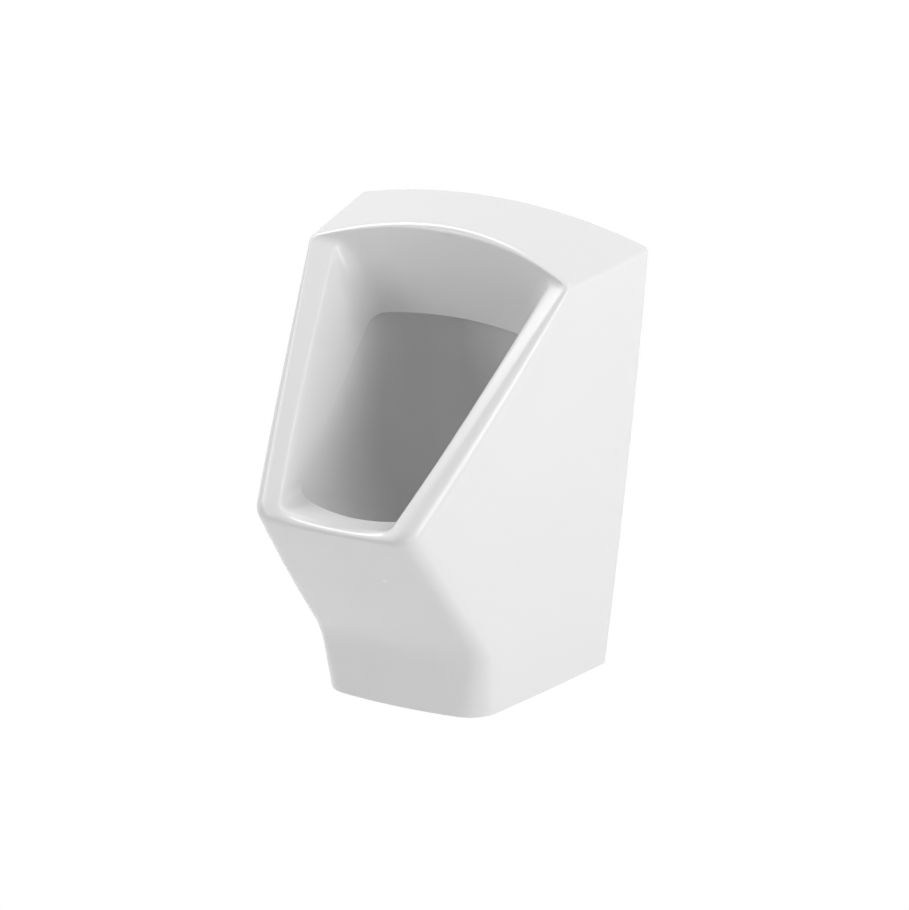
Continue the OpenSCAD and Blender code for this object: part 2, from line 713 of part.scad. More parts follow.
module trap_top_seal() {
    color([0.12, 0.12, 0.13]) at(drain_d, neck_top) ring(neck_r, dip_r, seal_t);
}
module trap_bottle() {
    inner_r = bottle_r - trap_wall;
    color([0.92, 0.93, 0.93]) at(drain_d, 0) difference() {
        union() {
            rotate_extrude() polygon([
                [0, bottle_low], [bottle_r, bottle_low], [bottle_r, bottle_top - shoulder_c],
                [bottle_r - shoulder_c, bottle_top], [neck_r, bottle_top], [neck_r, neck_top], [0, neck_top]
            ]);
            translate([0, 0, outlet_h]) to_wall() cylinder(r = socket_r, h = socket_reach);
        }
        rotate_extrude() polygon([
            [0, bottle_low - over], [inner_r, bottle_low - over],
            [inner_r, bottle_top - shoulder_c - trap_wall / 2],
            [inner_r - shoulder_c, bottle_top - trap_wall], [0, bottle_top - trap_wall]
        ]);
        translate([0, 0, bottle_top - trap_wall - over])
            cylinder(r = dip_r + slide_gap, h = neck_h + trap_wall + 2 * over);
        translate([0, 0, outlet_h]) to_wall() cylinder(r = outlet_r + slide_gap, h = socket_reach + over);
    }
}
module trap_cup() {
    outer_r = cup_in_r + cup_wall;
    color([0.92, 0.93, 0.93]) at(drain_d, cup_low) difference() {
        union() {
            cylinder(r = outer_r, h = cup_top - cup_low);
            for (i = [0:cup_grips - 1])
                rotate(i * 360 / cup_grips) translate([outer_r, 0, 0])
                    cylinder(r = trap_wall * 0.6, h = cup_top - cup_low);
        }
        translate([0, 0, bottle_low - seal_t - cup_low])
            cylinder(r = cup_in_r, h = seal_t + cup_grip + over);
        translate([0, 0, trap_wall]) cylinder(r = bottle_r - trap_wall, h = cup_top);
    }
}
module trap_cup_seal() {
    color([0.12, 0.12, 0.13]) at(drain_d, bottle_low - seal_t) ring(bottle_r, bottle_r - trap_wall, seal_t);
}
module trap_outlet_nut() {
    color([0.9, 0.91, 0.91]) at(drain_d - socket_reach - seal_t - nut_ledge, outlet_h) to_front()
        union_nut(socket_r, outlet_r, seal_t);
}
module trap_outlet_seal() {
    color([0.12, 0.12, 0.13]) at(drain_d - socket_reach, outlet_h) to_wall() ring(socket_r, outlet_r, seal_t);
}
module outlet_pipe() {
    inside = drain_d - socket_reach + pipe_in;
    color([0.92, 0.93, 0.93]) at(inside, outlet_h) to_wall() difference() {
        union() {
            cylinder(r = outlet_r, h = inside + outlet_past);
            translate([0, 0, inside]) cylinder(r = outlet_r + trap_wall, h = trap_wall);
        }
        translate([0, 0, -over]) cylinder(r = outlet_r - trap_wall, h = inside + outlet_past + 2 * over);
    }
}
module outlet_wall_ring() {
    color([0.12, 0.12, 0.13]) at(wall_ring_t, outlet_h) to_wall() difference() {
        cylinder(r1 = outlet_r + wall_ring_t, r2 = wall_ring_r, h = wall_ring_t);
        translate([0, 0, -over]) cylinder(r = outlet_r, h = wall_ring_t + 2 * over);
    }
}

module inlet_spud() {
    color([0.78, 0.66, 0.4]) at(-inlet_past, inlet_h) to_front() difference() {
        union() {
            cylinder(r = inlet_r, h = inlet_past + inlet_end_d);
            translate([0, 0, inlet_past + inlet_flange_d]) cylinder(r = inlet_flange_r, h = inlet_flange_t);
        }
        translate([0, 0, -over]) cylinder(r = inlet_bore_r, h = inlet_past + inlet_end_d + 2 * over);
    }
}
module inlet_gasket() {
    color([0.12, 0.12, 0.13]) at(boss_rear_d - gasket_t, inlet_h) to_front()
        ring(inlet_flange_r, inlet_hole_r, gasket_t);
}
module inlet_washer() {
    color([0.8, 0.81, 0.83]) at(boss_front_d, inlet_h) to_front()
        ring(inlet_flange_r, inlet_r + screw_gap, washer_t);
}
module inlet_nut() {
    color([0.78, 0.66, 0.4]) at(inlet_nut_d, inlet_h) to_front()
        ring(inlet_flange_r * 0.9, inlet_r + thread_gap, inlet_nut_t, 6);
}
module spreader() {
    room = spreader_len * 0.2;
    slot = spreader_r * 0.2;
    color([0.82, 0.83, 0.85]) at(spreader_d, inlet_h) to_front() difference() {
        rotate_extrude() polygon([
            [0, 0], [spreader_r, 0], [spreader_r, spreader_len * 0.85],
            [spreader_r * 0.85, spreader_len], [0, spreader_len]
        ]);
        translate([0, 0, -over]) cylinder(r = inlet_r + thread_gap, h = inlet_end_d - spreader_d + over);
        translate([0, 0, inlet_end_d - spreader_d - over]) cylinder(r = inlet_bore_r, h = room + over);
        for (i = [0:spreader_slots - 1])
            rotate(180 + 180 * (i + 0.5) / spreader_slots) translate([0, -slot / 2, inlet_end_d - spreader_d])
                cube([spreader_r + over, slot, room * 0.85]);
    }
}

module hanger_bracket(side) {
    low = -fixing_dz / 2 - bracket_end;
    web = [
        [steel_t, shelf_up - steel_t], [tongue_d, shelf_up - steel_t],
        [steel_t, fixing_dz / 2 - washer_r]
    ];
    color([0.66, 0.67, 0.69]) translate([side * fixing_dx / 2 - bracket_w / 2, 0, 0]) difference() {
        union() {
            translate([0, -steel_t, low]) cube([bracket_w, steel_t, shelf_up - low]);
            translate([0, -tongue_d - steel_t, shelf_up - steel_t])
                cube([bracket_w, tongue_d + steel_t, steel_t]);
            translate([0, -tongue_d - steel_t, shelf_up - steel_t])
                cube([bracket_w, steel_t, steel_t + tongue_h]);
            for (x = [0, bracket_w - steel_t / 2])
                translate([x, 0, 0]) rotate([90, 0, 90]) linear_extrude(steel_t / 2)
                    polygon([for (p = web) [-p[0], p[1]]]);
        }
        for (z = [-fixing_dz / 2, fixing_dz / 2])
            translate([bracket_w / 2, over, z]) to_front()
                cylinder(r = screw_r + screw_gap, h = steel_t + 2 * over);
    }
}
module left_hanger_bracket() { hanger_bracket(-1); }
module right_hanger_bracket() { hanger_bracket(1); }
module hanger_buffers() {
    color([0.12, 0.12, 0.13]) for (side = [-1, 1])
        translate([side * fixing_dx / 2 - bracket_w / 2, -tongue_d, shelf_up])
            cube([bracket_w, tongue_d - steel_t, buffer_t]);
}
// Children at each of the four fixings, on the wall's face
module at_fixings() {
    for (x = [-fixing_dx / 2, fixing_dx / 2], z = [-fixing_dz / 2, fixing_dz / 2])
        translate([x, 0, z]) children();
}
module hanger_washers() {
    color([0.8, 0.81, 0.83]) at_fixings() translate([0, -steel_t, 0]) to_front()
        ring(washer_r, screw_r + screw_gap, washer_t);
}
module hanger_screws() {
    color([0.74, 0.75, 0.77]) at_fixings() translate([0, -steel_t - washer_t, 0]) difference() {
        union() {
            to_front() cylinder(r1 = head_r, r2 = head_r * 0.8, h = head_h);
            translate([0, -over, 0]) to_wall() cylinder(r = screw_r, h = screw_len + over);
        }
        translate([0, -head_h / 2, 0]) to_front() cylinder(r = screw_r * 0.8, h = head_h, $fn = 6);
    }
}
module wall_plugs() {
    color([0.55, 0.56, 0.58]) at_fixings() to_wall() difference() {
        cylinder(r = plug_r, h = plug_len);
        translate([0, 0, -over])
            cylinder(r = screw_r + thread_gap, h = screw_len - steel_t - washer_t + 2 * over);
    }
}

ceramic_body();
outlet_strainer();
waste_flange();
waste_top_gasket();
waste_bottom_gasket();
waste_backnut();
trap_inlet_nut();
trap_inlet_seal();
trap_inlet_tube();
trap_top_nut();
trap_top_seal();
trap_bottle();
trap_cup();
trap_cup_seal();
trap_outlet_nut();
trap_outlet_seal();
outlet_pipe();
outlet_wall_ring();
inlet_spud();
inlet_gasket();
inlet_washer();
inlet_nut();
spreader();
left_hanger_bracket();
right_hanger_bracket();
hanger_buffers();
hanger_washers();
hanger_screws();
wall_plugs();
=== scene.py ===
import math

import bmesh
import bpy
from mathutils import Matrix, Vector


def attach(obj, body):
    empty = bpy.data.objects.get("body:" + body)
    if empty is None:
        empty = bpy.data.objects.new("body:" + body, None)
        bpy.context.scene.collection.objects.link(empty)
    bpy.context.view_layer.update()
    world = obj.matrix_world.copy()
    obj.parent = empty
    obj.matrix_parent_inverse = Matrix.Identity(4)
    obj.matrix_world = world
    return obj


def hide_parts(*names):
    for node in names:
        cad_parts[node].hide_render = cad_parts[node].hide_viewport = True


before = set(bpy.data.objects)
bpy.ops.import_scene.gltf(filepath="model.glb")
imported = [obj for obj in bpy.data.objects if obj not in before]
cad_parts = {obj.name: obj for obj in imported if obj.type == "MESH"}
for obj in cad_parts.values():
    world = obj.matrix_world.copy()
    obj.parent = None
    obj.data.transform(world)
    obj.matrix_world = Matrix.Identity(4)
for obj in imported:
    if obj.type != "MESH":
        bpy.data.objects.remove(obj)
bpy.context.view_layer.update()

# ---------------------------------------------------------------- studio
# A plain pale floor at the usual mounting height below the urinal, and soft
# white light. The camera stands far off with a long lens, as a catalogue
# photographer's does, so that the body's edges stay nearly parallel.
azimuth, elevation = math.radians(30.2), math.radians(20.24)
sight_right = Vector((math.cos(azimuth), math.sin(azimuth), 0))
sight_back = Vector((
    math.sin(azimuth) * math.cos(elevation),
    -math.cos(azimuth) * math.cos(elevation),
    math.sin(elevation),
))
sight_up = sight_back.cross(sight_right)
aim = Vector((0, -0.15855, -0.1462)) + 0.0273 * sight_right + 0.0239 * sight_up
camera_distance = 20.495
camera_data = bpy.data.cameras.new("camera")
camera_data.sensor_width = 36
camera_data.lens = 767.9
camera_data.clip_end = 100
camera = bpy.data.objects.new("camera", camera_data)
camera.matrix_world = Matrix.Translation(aim + camera_distance * sight_back) @ Matrix((
    sight_right, sight_up, sight_back
)).transposed().to_4x4()
bpy.context.scene.collection.objects.link(camera)
bpy.context.scene.camera = camera
bpy.context.scene.view_settings.view_transform = "Standard"


def shader_node(tree, kind, **values):
    """A node of a tree, with its inputs (by name) and its settings set."""
    made = tree.nodes.new("ShaderNode" + kind)
    for name, value in values.items():
        name = name.replace("_", " ")
        if name in made.inputs:
            made.inputs[name].default_value = value
        else:
            setattr(made, name.replace(" ", "_"), value)
    return made


def seen_mix(tree, unseen, seen):
    """Shows the second shader to camera, glossy and transmission rays only."""
    path = shader_node(tree, "LightPath")
    first = shader_node(tree, "Math", operation="MAXIMUM")
    both = shader_node(tree, "Math", operation="MAXIMUM")
    mixed = shader_node(tree, "MixShader")
    for start, end in (
        (path.outputs["Is Camera Ray"], first.inputs[0]),
        (path.outputs["Is Glossy Ray"], first.inputs[1]),
        (first.outputs[0], both.inputs[0]),
        (path.outputs["Is Transmission Ray"], both.inputs[1]),
        (both.outputs[0], mixed.inputs[0]),
        (unseen.outputs[0], mixed.inputs[1]),
        (seen.outputs[0], mixed.inputs[2]),
    ):
        tree.links.new(start, end)
    return mixed.outputs[0]


world = bpy.data.worlds.new("studio")
bpy.context.scene.world = world
world.use_nodes = True
sky = world.node_tree
sky.nodes.clear()
sky_white = shader_node(sky, "Background", Color=(1, 1, 1, 1), Strength=1.0)
sky_light = shader_node(sky, "Background", Color=(1, 1, 1, 1), Strength=0.03)
sky_end = shader_node(sky, "OutputWorld")
sky.links.new(seen_mix(sky, sky_light, sky_white), sky_end.inputs["Surface"])

floor_z, floor_half = -0.738, 40
floor_mesh = bpy.data.meshes.new("floor")
floor_mesh.from_pydata(
    [(x * floor_half, y * floor_half, floor_z) for x, y in ((-1, -1), (1, -1), (1, 1), (-1, 1))],
    [], [(0, 1, 2, 3)],
)
floor = bpy.data.objects.new("floor", floor_mesh)
bpy.context.scene.collection.objects.link(floor)
floor_paint = bpy.data.materials.new("floor_paint")
floor_paint.use_nodes = True
paint = floor_paint.node_tree
paint.nodes.clear()
paint_diffuse = shader_node(paint, "BsdfDiffuse", Color=(0.82, 0.82, 0.82, 1))
paint_white = shader_node(paint, "Emission", Color=(1, 1, 1, 1), Strength=1.0)
paint_end = shader_node(paint, "OutputMaterial")
paint.links.new(seen_mix(paint, paint_diffuse, paint_white), paint_end.inputs["Surface"])
floor_mesh.materials.append(floor_paint)


def soft_lamp(name, place, size, watts):
    """A square softbox that faces the middle of the urinal."""
    data = bpy.data.lights.new(name, "AREA")
    data.shape = "SQUARE"
    data.size = size
    data.energy = watts
    lamp = bpy.data.objects.new(name, data)
    place = Vector(place)
    facing = (place - aim).to_track_quat("Z", "Y").to_matrix().to_4x4()
    lamp.matrix_world = Matrix.Translation(place) @ facing
    bpy.context.scene.collection.objects.link(lamp)


for name, place, size, watts in (
    ("right_softbox", (2.8, -0.2, 0.5), 1.6, 32),
    ("right_front_softbox", (2.3, -1.5, 0.9), 1.4, 6),
    ("low_right_softbox", (2.2, -1.8, -0.4), 1.4, 9),
    ("high_right_softbox", (2.4, -0.3, 1.5), 1.4, 14),
    ("top_right_softbox", (1.4, 0.4, 2.6), 1.2, 27),
    ("top_left_softbox", (-1.5, 0.2, 2.0), 1.4, 35),
    ("high_left_softbox", (-2.2, -1.2, 1.9), 1.2, 11),
    ("front_left_softbox", (-1.5, -2.4, 0.9), 1.2, 15),
    ("low_front_softbox", (-1.6, -2.5, -0.2), 1.5, 10),
    ("rear_softbox", (0.6, 2.8, 0.6), 1.6, 17),
):
    soft_lamp(name, place, size, watts)

# ---------------------------------------------------------- ceramic body
# Vitreous china, slip-cast in one piece in a plaster mould and glazed: a
# double wall whose outer skin turns over the rounded rim into the funnel
# and the undercut bowl. Its shape follows the casting's own rules: loops
# of spokes round the body, from the wall over the rim down to the outlet.
hang_h = 0.384
body_h, corner_h, corner_fall = 0.502, 0.478, 0.0045
top_w, foot_w, edge_bow = 0.352, 0.248, 0.0027
side_taper, side_sweep_r = 0.103, 3.165
crown_d, lip_d, lip_h = 0.110, 0.366, 0.246
kick_d, kick_h, foot_d = 0.218, 0.066, 0.213
foot_bow, lip_bow = 0.009, 0.001
foot_corner, lip_corner, face_corner, top_corner = 0.024, 0.019, 0.014, 0.006
kick_soft, wall_t, flange_w = 0.024, 0.011, 0.014
rim_w, crown_land, lip_land, corner_land = 0.028, 0.012, 0.022, 0.010
rim_round, corner_round, crown_round, band_soft = 0.014, 0.007, 0.010, 0.006
edge_round, edge_proud = 0.0022, 0.0008
throat_top_w, throat_low_w = 0.212, 0.156
hood_d, hood_h, sill_d, sill_h = 0.081, 0.391, 0.311, 0.241
throat_corner, undercut = 0.015, 0.012
bowl_back_d, pocket_h, floor_h, drain_d, drain_ring_r = 0.026, 0.429, 0.168, 0.125, 0.048
dish_in, dish_up = 0.009, 0.007
hood_fall, hood_swing, sill_rise, sill_swing = 0.008, 0.012, 0.009, 0.014
band_corner, funnel_corner = 0.008, (0.022, 0.060)
heel_share, full_share = 0.3, 0.58

mouth_slope = (body_h - lip_h) / (lip_d - crown_d)
crown_rise = body_h - corner_h
rim_corner_h = corner_h - corner_fall
corner_d = crown_d + (body_h - rim_corner_h) / mouth_slope
mouth_dir = Vector((-1, mouth_slope)).normalized()
kick_share = kick_h / (kick_h + math.hypot(lip_d - kick_d, lip_h - kick_h))
lip_in = Vector((lip_d, lip_h))
face_dir = Vector((lip_d - kick_d, lip_h - kick_h)).normalized()
face_in = Vector((-face_dir.y, face_dir.x))


def mix(a, b, t):
    return a + (b - a) * t


def curve2(a, b, c, t):
    return mix(mix(a, b, t), mix(b, c, t), t)


def curve3(a, b, c, d, t):
    return mix(curve2(a, b, c, t), curve2(b, c, d, t), t)


def rounded(a, k, b, t):
    return curve3(a, mix(a, k, full_share), mix(b, k, full_share), b, t)


def side_x(d, z):
    t = z / corner_h
    half = mix(foot_w, top_w, t) / 2 + edge_bow * 4 * t * (1 - t)
    return half - side_taper * d - d * d / (2 * side_sweep_r)


def front_path(u, g):
    rise = face_in.y - (1 + face_in.x) * face_dir.y / face_dir.x
    kick = Vector((kick_d - g, kick_h + g * rise))
    foot, lip = Vector((foot_d - g, 0)), lip_in + g * face_in
    s = kick_soft / (lip - kick).length * (1 - kick_share)
    if u < kick_share - s:
        return mix(foot, kick, u / kick_share)
    if u > kick_share + s:
        return mix(kick, lip, (u - kick_share) / (1 - kick_share))
    return curve2(
        mix(foot, kick, (kick_share - s) / kick_share), kick,
        mix(kick, lip, s / (1 - kick_share)), (u - kick_share + s) / (2 * s),
    )


def front_corner(u):
    sag = (foot_corner + lip_corner) / 2 - face_corner
    return mix(foot_corner, lip_corner, u) - 4 * u * (1 - u) * sag


def face_pt(u, s, g):
    p = front_path(u, g)
    half = side_x(p.x, p.y) - g
    q = s * (1 - front_corner(u) / half)
    return Vector((q * half, p.x + mix(foot_bow, lip_bow, u) * (1 - q * q), p.y))


def side_start(u, g):
    return front_path(u, g) + front_corner(u) * mix(Vector((-1, 0)), mouth_dir, u).normalized()


def side_end(u, g):
    corner = Vector((u * corner_d, corner_h - u * corner_fall - g))
    return corner - top_corner * mix(Vector((0, 1)), mouth_dir, u).normalized()


def side_pt(u, t, g):
    if t < heel_share:
        heel = mix(side_start(0, g), Vector((0, 0)), t / heel_share)
    else:
        heel = mix(Vector((0, 0)), side_end(0, g), (t - heel_share) / (1 - heel_share))
    rim = mix(side_start(1, g), side_end(1, g), t)
    p = (
        mix(heel, rim, u) + mix(side_start(u, g), side_end(u, g), t)
        - mix(mix(side_start(0, g), side_end(0, g), t), rim, u)
    )
    return Vector((side_x(p.x, p.y) - g, p.x, p.y))


def top_pt(u, t, g):
    half = side_x(u * corner_d, corner_h - u * corner_fall) - g
    q = (1 - t) * (1 - top_corner / half)
    d = u * mix(crown_d, corner_d, q * q)
    rise = crown_rise + u * corner_fall
    return Vector((q * (side_x(d, body_h - rise) - g), d, body_h - rise * q * q - g))


def skin(u, spoke, g=0.0):
    """A point of the outer skin: u runs from wall or foot (0) to the rim (1)."""
    kind, t = spoke
    if kind == "face":
        return face_pt(u, t, g)
    if kind == "corner":
        f = front_path(u, g)
        return rounded(
            face_pt(u, 1, g), Vector((side_x(f.x, f.y) - g, f.x, f.y)), side_pt(u, 0, g), t
        )
    if kind == "side":
        return side_pt(u, t, g)
    if kind == "crease":
        z = corner_h - u * corner_fall
        sharp = Vector((side_x(u * corner_d, z) - g, u * corner_d, z - g))
        return rounded(side_pt(u, 1, g), sharp, top_pt(u, 0, g), t)
    return top_pt(u, t, g)


face_n, corner_n, heel_n, edge_n, crease_n, crown_n = 12, 10, 12, 36, 6, 22
spokes = (
    [("face", j / face_n) for j in range(face_n)]
    + [("corner", j / corner_n) for j in range(corner_n + 1)]
    + [("side", heel_share * j / heel_n) for j in range(1, heel_n + 1)]
    + [("side", mix(heel_share, 1, j / edge_n)) for j in range(1, edge_n)]
    + [("crease", j / crease_n) for j in range(crease_n + 1)]
    + [("top", j / crown_n) for j in range(1, crown_n + 1)]
)


class Loop:
    """A loop inside the mouth, from its centres and corners below and above."""

    def __init__(self, low, low_corner, high_corner, high, rounding, bow=0.0):
        self.low, self.high = Vector(low), Vector(high)
        self.low_corner, self.high_corner = Vector(low_corner), Vector(high_corner)
        self.rounding, self.bow = rounding, bow

    def side(self, t):
        run = (self.high_corner - self.low_corner).length
        q = mix(self.rounding[0] / run, 1 - self.rounding[1] / run, t)
        bulge = Vector((self.bow * 4 * q * (1 - q), 0, 0))
        return mix(self.low_corner, self.high_corner, q) + bulge

    def end(self, centre, corner, q):
        p = mix(corner, centre, 1 - q * q)
        return Vector((q * corner.x, p.y, p.z))

    def low_pt(self, t):
        reach = 1 - self.rounding[0] / self.low_corner.x
        return self.end(self.low, self.low_corner, t * reach)

    def high_pt(self, t):
        reach = 1 - self.rounding[1] / self.high_corner.x
        return self.end(self.high, self.high_corner, (1 - t) * reach)

    def at(self, spoke):
        kind, t = spoke
        if kind == "face":
            return self.low_pt(t)
        if kind == "corner":
            return rounded(self.low_pt(1), self.low_corner, self.side(0), t)
        if kind == "side":
            return self.side(t)
        if kind == "crease":
            return rounded(self.side(1), self.high_corner, self.high_pt(0), t)
        return self.high_pt(t)


lip_hw, corner_hw = side_x(lip_d, lip_h), side_x(corner_d, rim_corner_h)
mid_hw = side_x((lip_d + corner_d) / 2, (lip_h + rim_corner_h) / 2)
land_q = 1 - rim_w / corner_hw
land_d, land_h = mix(crown_d, corner_d, land_q ** 2), mix(body_h, rim_corner_h, land_q ** 2)
band_loop = Loop(
    (0, lip_d - lip_land, lip_h - 0.1 * lip_land),
    (lip_hw - rim_w, lip_d - dish_in, lip_h + dish_up),
    (corner_hw - rim_w, land_d - 0.25 * corner_land, land_h - corner_land),
    (0, crown_d - 0.25 * crown_land, body_h - crown_land),
    (band_corner, band_corner), mid_hw - (lip_hw + corner_hw) / 2,
)
edge_loop = Loop(
    (0, sill_d, sill_h),
    (throat_low_w / 2, sill_d - sill_swing, sill_h + sill_rise),
    (throat_top_w / 2, hood_d + hood_swing, hood_h - hood_fall),
    (0, hood_d, hood_h),
    (throat_corner, throat_corner),
)
funnel_loop = Loop(
    mix(band_loop.low, edge_loop.low, 0.5),
    mix(band_loop.low_corner, edge_loop.low_corner, 0.5),
    mix(band_loop.high_corner, edge_loop.high_corner, 0.5),
    mix(band_loop.high, edge_loop.high, 0.5),
    funnel_corner,
)
step_loop = Loop(
    (0, sill_d + undercut / 2, sill_h - undercut / 3),
    edge_loop.low_corner + Vector((undercut, undercut / 4, -undercut / 3)),
    edge_loop.high_corner + Vector((undercut, -undercut, 0)),
    (0, hood_d - undercut / 2, hood_h + undercut),
    (throat_corner * 1.5, throat_corner * 1.5),
)


def bowl_loop(s):
    """A loop of the bowl, as shares of the bowl's own spans."""
    half = throat_top_w / 2
    return Loop(
        (0, mix(drain_d, sill_d, s[0]), mix(floor_h, sill_h, s[1])),
        (s[2] * half, mix(drain_d, sill_d, s[3]), mix(floor_h, sill_h, s[4])),
        (s[5] * half, mix(bowl_back_d, drain_d, s[6]), mix(floor_h, pocket_h, s[7])),
        (0, mix(bowl_back_d, drain_d, s[8]), mix(floor_h, pocket_h, s[9])),
        (s[10] * half, s[11] * half), s[12] * half,
    )


bowl_loops = [
    step_loop,
    bowl_loop((0.97, 0.75, 0.85, 0.86, 0.8, 1.06, 0.25, 0.92, 0.43, 1, 0.25, 0.38, 0)),
    bowl_loop((0.86, 0.4, 0.79, 0.74, 0.46, 0.91, 0.06, 0.86, -0.01, 1, 0.32, 0.49, 0.08)),
    bowl_loop((0.69, 0.17, 0.74, 0.54, 0.19, 0.83, 0.04, 0.39, -0.02, 0.5, 0.47, 0.57, 0.13)),
    bowl_loop((0.45, 0.06, 0.57, 0.3, 0.07, 0.62, 0.3, 0.05, 0.05, 0.06, 0.47, 0.53, 0.11)),
]


def crown_part(s):
    return 1.0 if s[0] == "top" else s[1] if s[0] == "crease" else 0.0


def lip_part(s):
    return 1.0 if s[0] == "face" else 1 - s[1] if s[0] == "corner" else 0.0


def rim_r(s):
    """The rounding of the rim is full along the sides and lip, and tight at the top corners."""
    kind, t = s
    if kind == "top":
        return mix(crown_round, corner_round, (1 - t) ** 8)
    if kind == "crease":
        return corner_round
    return mix(rim_round, corner_round, t ** 3) if kind == "side" else rim_round


def rim_start(s):
    """The share of a spoke at which the outer skin begins to turn over the rim."""
    near = 0.02
    return 1 - rim_r(s) / ((skin(1, s) - skin(1 - near, s)).length / near)


def chain(points, steps):
    """A smooth run through a list of control points, as joined quadratic arcs."""
    last = len(points) - 3
    run = []
    for j in range(last + 1):
        a = points[0] if j == 0 else (points[j] + points[j + 1]) / 2
        c = points[-1] if j == last else (points[j + 1] + points[j + 2]) / 2
        run += [curve2(a, points[j + 1], c, k / steps) for k in range(1, steps + 1)]
    return run


def shares(n):
    return [k / n for k in range(n + 1)]


# Close loops where the skirt bends into the face, and wider ones above.
skin_shares = [0.1 * k / 3 for k in range(4)] + [0.1 + 0.3 * k / 16 for k in range(1, 17)] + [
    0.4 + 0.6 * k / 10 for k in range(1, 10)
]
round_n, soft_n, funnel_n, edge_steps, chain_n = 8, 4, 10, 6, 8


def front_spoke(s):
    """One spoke of the glazed side, from the wall over the rim to the outlet."""
    radius, start = rim_r(s), rim_start(s)
    v, pa = skin(1, s), skin(start, s)
    i, k, m = band_loop.at(s), edge_loop.at(s), funnel_loop.at(s)
    loops = [one.at(s) for one in bowl_loops]
    soft = mix(mix(band_soft, band_soft * 0.8, lip_part(s)), crown_land * 0.25, crown_part(s))
    pb = v + radius * (i - v).normalized()
    ia, ib = i + soft * (v - i).normalized(), i + soft * (m - i).normalized()
    ka = k + edge_round * (m - k).normalized()
    kc = k + edge_round * (loops[0] - k).normalized()
    proud = k + edge_proud * (2 * k - ka - kc).normalized()
    floor_pt = loops[-1]
    drain = Vector((0, drain_d, floor_h))
    ring = drain + drain_ring_r * Vector((floor_pt.x, floor_pt.y - drain_d, 0)).normalized()
    return (
        [skin(w * start, s) for w in skin_shares]
        + [rounded(pa, v, pb, t) for t in shares(round_n)]
        + [curve2(ia, i, ib, t) for t in shares(soft_n)]
        + [curve2(ib, m, ka, t) for t in shares(funnel_n)[1:-1]]
        + [curve2(ka, proud, kc, t) for t in shares(edge_steps)]
        + chain([kc] + loops + [ring], chain_n)
    )


def whole(half):
    """A whole loop from the points of its right half."""
    return half + [Vector((-p.x, p.y, p.z)) for p in half[-2:0:-1]]


half_front = [front_spoke(s) for s in spokes]
ring_n = len(half_front[0])
front_rings = [whole([one[k] for one in half_front]) for k in range(ring_n)]
loop_n = len(front_rings[0])
funnel_ring = len(skin_shares) + round_n + 1 + soft_n + 1 + funnel_n - 2
bowl_ring = funnel_ring + edge_steps + 1


def hidden_ring(k, g):
    """The same ring moved to the hidden side of the wall."""
    above, below, here = front_rings[k - 1], front_rings[min(k + 1, ring_n - 1)], front_rings[k]
    ring = []
    for i in range(loop_n):
        across = here[(i + 1) % loop_n] - here[i - 1]
        ring.append(here[i] + g * across.cross(below[i] - above[i]).normalized())
    return ring


lining_shares = [
    0.06, 0.1, 0.13, 0.16, 0.19, 0.22, 0.25, 0.28, 0.31, 0.34, 0.4, 0.5, 0.6, 0.7, 0.8, 0.84,
]
hidden_rings = (
    [whole([skin(0, s, flange_w) for s in spokes])]
    + [whole([skin(w * rim_start(s), s, wall_t) for s in spokes]) for w in lining_shares]
    + [hidden_ring(funnel_ring, wall_t)]
    + [hidden_ring(k, wall_t) for k in range(bowl_ring + 6, ring_n - 4, 2)]
    + [[p - Vector((0, 0, wall_t)) for p in front_rings[-1]]]
)
rings = front_rings[::-1] + hidden_rings


def placed(p):
    """Depth and height become the frame's own Y and Z."""
    return (p.x, -p.y, p.z - hang_h)


body_points = [placed(p) for ring in rings for p in ring]
total = len(rings)
body_faces = [
    (k * loop_n + i, k * loop_n + (i + 1) % loop_n,
     (k + 1) * loop_n + (i + 1) % loop_n, (k + 1) * loop_n + i)
    for k in range(total - 1) for i in range(loop_n)
]
body_faces.append(tuple(range(loop_n - 1, -1, -1)))
body_faces.append(tuple((total - 1) * loop_n + i for i in range(loop_n)))
body_mesh = bpy.data.meshes.new("urinal_body")
body_mesh.from_pydata(body_points, [], body_faces)
glaze_faces, outlet_cap = (ring_n - 1) * loop_n, len(body_faces) - 2
for polygon in body_mesh.polygons:
    polygon.use_smooth = True
    glazed = polygon.index < glaze_faces or polygon.index == outlet_cap
    polygon.material_index = 0 if glazed else 1
body = bpy.data.objects.new("urinal_body", body_mesh)
bpy.context.scene.collection.objects.link(body)


def as_piece(name, mesh, finish=None):
    """A new object that holds a mesh and its finish."""
    if finish:
        mesh.materials.append(finish)
    piece = bpy.data.objects.new(name, mesh)
    bpy.context.scene.collection.objects.link(piece)
    return piece


def plain_mesh(piece):
    """Puts the finished mesh in the place of the piece's mesh and modifiers."""
    evaluated = piece.evaluated_get(bpy.context.evaluated_depsgraph_get())
    mesh = bpy.data.meshes.new_from_object(evaluated)
    piece.modifiers.clear()
    piece.data = mesh
    return mesh


def join_or_cut(piece, tool, operation):
    """Joins a tool to a piece, or cuts it away, and removes the tool."""
    change = piece.modifiers.new(operation.lower(), "BOOLEAN")
    change.operation, change.object, change.solver = operation, tool, "EXACT"
    plain_mesh(piece)
    bpy.data.objects.remove(tool)


def smooth_shade(mesh, angle=35):
    """Smooth shading that stays sharp over edges steeper than the angle."""
    mesh.shade_smooth()
    mesh.set_sharp_from_angle(angle=math.radians(angle))
    return mesh


